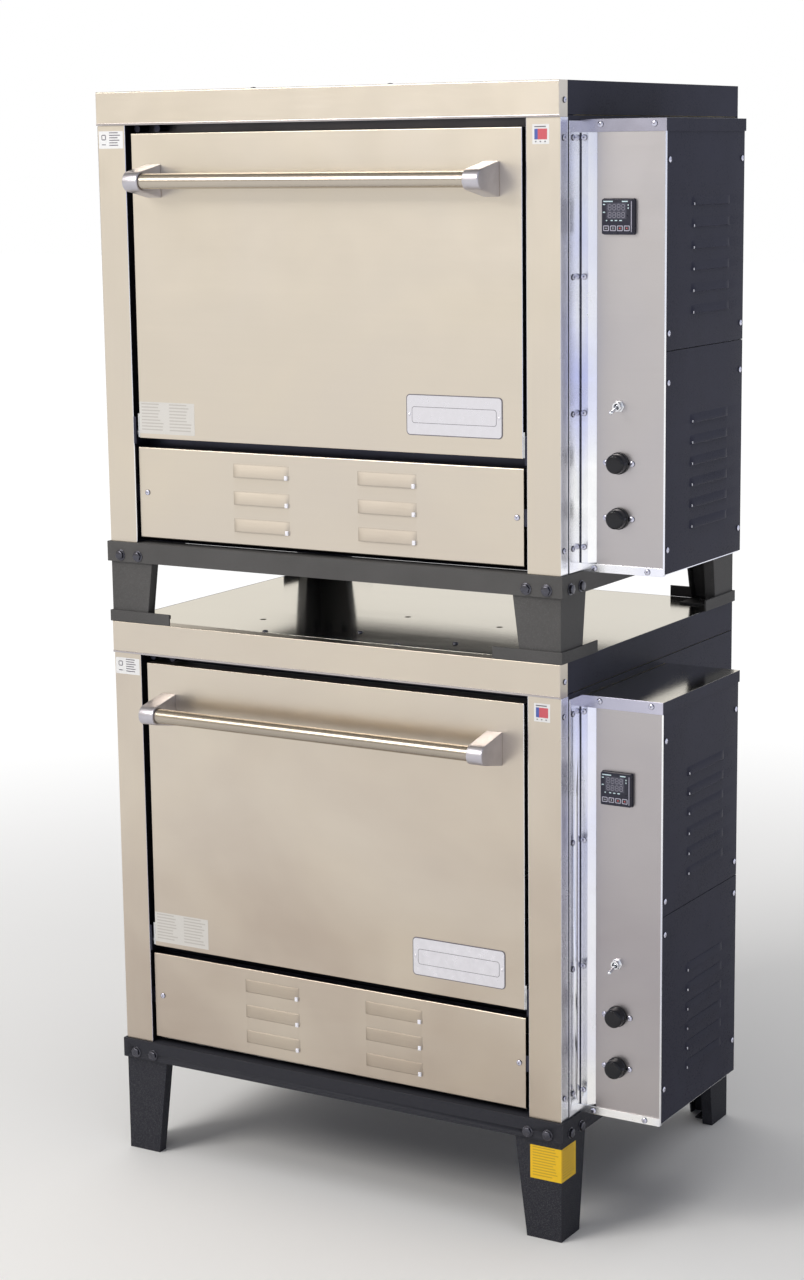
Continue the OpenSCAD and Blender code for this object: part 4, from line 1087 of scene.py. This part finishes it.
def screw_of(points):
    """A fastener's box, the axis that it points along, which end its head is at, and whether it is a bolt."""
    low = Vector([min(p[i] for p in points) for i in range(3)])
    high = Vector([max(p[i] for p in points) for i in range(3)])
    size, middle = high - low, (low + high) / 2
    longest_screw, shank = 15 * MM, 3.5 * MM
    bolt = max(size) > longest_screw
    axis = (max if bolt else min)(range(3), key=lambda i: size[i])
    side = 0.0
    for p in points:
        offset = p - middle
        across = math.sqrt(sum(offset[i] ** 2 for i in range(3) if i != axis))
        if across > shank:
            side += offset[axis]
    return low, high, axis, side, bolt


# How far each head stands out of its sheet, in millimetres
BOLT_HEAD, SCREW_HEAD = 5.0, 2.2


def hex_bolt(bm, seat, way, turn):
    """A hex head on its washer, the shank and the nut behind."""
    lathe(bm, [(0, 0.0), (8.2, 0.0), (8.4, 0.2), (8.4, 0.9), (8.1, 1.1), (0, 1.1)], seat, way, 32, 1)
    head = [(0, 1.1), (6.9, 1.1), (6.9, 4.3), (6.2, 4.75), (5.4, BOLT_HEAD), (0, BOLT_HEAD)]
    nut = [(0, -12), (6.6, -12), (6.9, -11.6), (6.9, -7.4), (6.9, -7.0), (0, -7.0)]
    lathe(bm, head, seat, way, 6, 1, turn)
    lathe(bm, [(4, -13), (4, 1.1)], seat, way, 20, 1)
    lathe(bm, nut, seat, way, 6, 1, turn)


def pan_screw(bm, seat, way, turn):
    """A domed head whose rim is drawn dark as painted shade, on a short shank."""
    dome = [(4.2, 0.0), (4.2, 0.75), (3.95, 1.25), (3.4, 1.68), (2.5, 2.0), (1.3, 2.17), (0, SCREW_HEAD)]
    lathe(bm, [(0, -3), (1.9, -3), (1.9, 0)] + dome[:1], seat, way, 28, 0)
    lathe(bm, dome[:3], seat, way, 28, 1)
    lathe(bm, dome[2:], seat, way, 28, 0)
    cross_recess(bm, seat, way, turn)


def fasteners():
    """Pan-head screws and hex bolts, one for each solid of the CAD node, facing out of the nearest sheet."""
    draw = random.Random(5)
    centre = place(0, 381, 289, 0)
    bm = bmesh.new()
    for points in islands(NODES["fasteners"].data):
        low, high, axis, side, bolt = screw_of(points)
        seat = (low + high) / 2
        outward = seat[axis] - centre[axis] if bolt else side
        way = Vector((0, 0, 0))
        way[axis] = 1.0 if outward > 0 else -1.0
        head = BOLT_HEAD if bolt else SCREW_HEAD
        seat[axis] = (high if outward > 0 else low)[axis] - way[axis] * head * MM
        if bolt:
            hex_bolt(bm, seat, way, draw.uniform(0, math.pi / 3))
        else:
            pan_screw(bm, seat, way, draw.uniform(0, math.pi))
    made("screws_and_bolts", bm, "root", "plated_steel", SCREW, DARK_BOLT_AND_SHADE, DARK_BOLT_AND_SHADE, replaces=["fasteners"],
         smooth=34)


# ---------------------------------------------------------------- carried-over nodes and small hardware

# Nodes that keep their CAD shape: those that each oven has, and the rest
CARRIED = {"door_liner": LINER, "door_insulation": WOOL, "door_hinge_arms": ZINC}
CARRIED_SHARED = {
    "lower_baking_chamber": CHAMBER, "upper_baking_chamber": UPPER_CHAMBER, "insulation": WOOL,
    "hearth_decks": STONE, "deck_rails": LINER, "heating_elements": SHEATH, "thermocouples": ZINC,
    "contactors": MATTE_PLASTIC, "cable_glands": MATTE_PLASTIC,
}


def carried_over():
    coats = {f"{name}_{part}": material for name in TIERS for part, material in CARRIED.items()}
    for node, material in (coats | CARRIED_SHARED).items():
        mesh = NODES[node].data
        mesh.materials.clear()
        mesh.materials.append(material)


def small_hardware():
    """Door catches in near-white plating as a painted highlight, hinge plates in dark steel as painted shade,
    and the switches with their bright bushings.
    """
    hinge_top = place(0, 0, 0, 400).z
    # Catches take the near-white plating, a painted highlight; the hinge plates below take dark steel, as
    # painted shade.
    rounded("door_hardware", "plated_steel", CATCH_HIGHLIGHT, SHADE_STEEL, width=0.3, shortest=2.0, smooth=40,
            pick=lambda centre, normal: int((centre.z % PITCH) < hinge_top))
    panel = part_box("lower_control_panel")[0].y
    rounded("switch_bodies", "matte_black_plastic", MATTE_PLASTIC, CHROME, width=0.3, shortest=2.0, smooth=40,
            pick=lambda centre, normal: int(centre.y < panel + 1 * MM))


# ---------------------------------------------------------------- stage, lights and camera


def stage():
    bm = bmesh.new()
    bmesh.ops.create_grid(bm, x_segments=1, y_segments=1, size=30)
    mesh = bpy.data.meshes.new("floor")
    bm.to_mesh(mesh)
    bm.free()
    floor = linked("floor", mesh)
    n = Nodes("pale floor")
    cloud = n.noise(3.0, 3.0, 0.5)
    mesh.materials.append(n.finish(n.mix(cloud, (0.86, 0.86, 0.865), (0.88, 0.88, 0.88)), 0.75))
    # far from the object the floor turns to plain white light, so that no horizon shows
    far = n.add("ShaderNodeVectorMath", operation="LENGTH")
    n.link(n.place, far.inputs[0])
    glow = n.span(far.outputs["Value"], 0.7, 3.4)
    glow.node.interpolation_type = "SMOOTHSTEP"
    n.shader.inputs["Emission Color"].default_value = (1, 1, 1, 1)
    n.link(glow, n.shader.inputs["Emission Strength"])
    n.link(n.mix(glow, n.shader.inputs["Base Color"].links[0].from_socket, (0.0, 0.0, 0.0)),
           n.shader.inputs["Base Color"])


def softbox(name, where, target, size, power, colour):
    light = bpy.data.lights.new(name, "AREA")
    light.shape = "RECTANGLE"
    light.size, light.size_y = size
    light.energy = power
    light.color = colour
    lamp = linked(name, light)
    lamp.location = where
    lamp.rotation_euler = (Vector(target) - Vector(where)).to_track_quat("-Z", "Y").to_euler()
    return lamp


def world():
    """A pale room, warm on the left and cool on the right, with plain white behind the object. Polished steel
    mirrors a strip of lamps in front, a dim ceiling and a bright rear wall."""
    scene = bpy.context.scene
    scene.world = bpy.data.worlds.new("studio")
    scene.world.use_nodes = True
    t = Tree(scene.world.node_tree)
    x, y, z = t.split(t.add("ShaderNodeTexCoord").outputs["Generated"])
    side = t.mix(t.span(x, -0.6, 0.6), (0.92, 0.87, 0.79), (0.84, 0.89, 1.0))
    before = t.steps(z, (-1, 0.5), (0.22, 0.5), (0.30, 0.66), (0.40, 0.66), (0.50, 0.40), (1, 0.36))
    behind = t.steps(z, (-1, 0.5), (0.0, 0.55), (0.50, 0.60), (0.64, 0.10), (0.92, 0.08), (1, 0.3))
    room = t.mix(t.span(y, -0.1, 0.25), before, behind)
    mirrored = t.add("ShaderNodeMix", data_type="RGBA", blend_type="MULTIPLY")
    mirrored.inputs[0].default_value = 1.0
    t.link(side, mirrored.inputs[6])
    t.link(room, mirrored.inputs[7])
    rays = t.add("ShaderNodeLightPath")
    shader = t.tree.nodes["Background"]
    t.link(t.mix(t.span(x, -0.5, 0.6), (1.0, 0.98, 0.95), (0.20, 0.215, 0.26)), shader.inputs["Color"])
    shader.inputs["Strength"].default_value = 0.6
    last = shader.outputs[0]
    seen = ("Is Glossy Ray", mirrored.outputs[2], 1.6), ("Is Camera Ray", (1, 1, 1, 1), 1.0)
    for ray, colour, strength in seen:
        light = t.add("ShaderNodeBackground")
        t.put(colour, light.inputs["Color"])
        light.inputs["Strength"].default_value = strength
        either = t.add("ShaderNodeMixShader")
        t.link(rays.outputs[ray], either.inputs[0])
        t.link(last, either.inputs[1])
        t.link(light.outputs[0], either.inputs[2])
        last = either.outputs[0]
    t.link(last, t.tree.nodes["World Output"].inputs["Surface"])
    scene.view_settings.view_transform = "Standard"


def lights():
    softbox("key", (-2.2, -4.0, 3.9), (0, 0, 0.9), (2.2, 2.2), 130, (1.0, 0.97, 0.92))
    overhead = softbox("overhead", (0.2, -0.4, 4.4), (0.2, -0.4, 0), (4.5, 4.5), 90, (1.0, 0.99, 0.97))
    overhead.visible_glossy = False


def camera():
    """At the photograph's own viewpoint: place in millimetres from one oven's corner, turn in radians."""
    data = bpy.data.cameras.new("camera")
    cam = linked("camera", data)
    cam.location = place(0, 2369.5, -3105.3, 1530.7)
    yaw, pitch, roll = 0.5398, -0.1848, -0.0123
    turned = Matrix.Rotation(yaw, 3, "Z") @ Matrix.Rotation(math.pi / 2 + pitch, 3, "X")
    cam.rotation_euler = (turned @ Matrix.Rotation(roll, 3, "Z")).to_euler()
    data.sensor_width = 36
    data.lens = 73.17
    bpy.context.scene.camera = cam


# ---------------------------------------------------------------- everything in turn

camera()
for tier, name in enumerate(TIERS):
    kick_panel(tier, name)
    side_covers(tier, name)
    shell(name)
    control_box_skin(name)
    handles(name)
    nameplate(name)
    labels(tier, name)
    knob(name, "top")
    knob(name, "bottom")
    toggle(tier, name)
    push_keys(name)
instruments()
shared_shell()
leg_label()
fasteners()
carried_over()
small_hardware()
stage()
world()
lights()
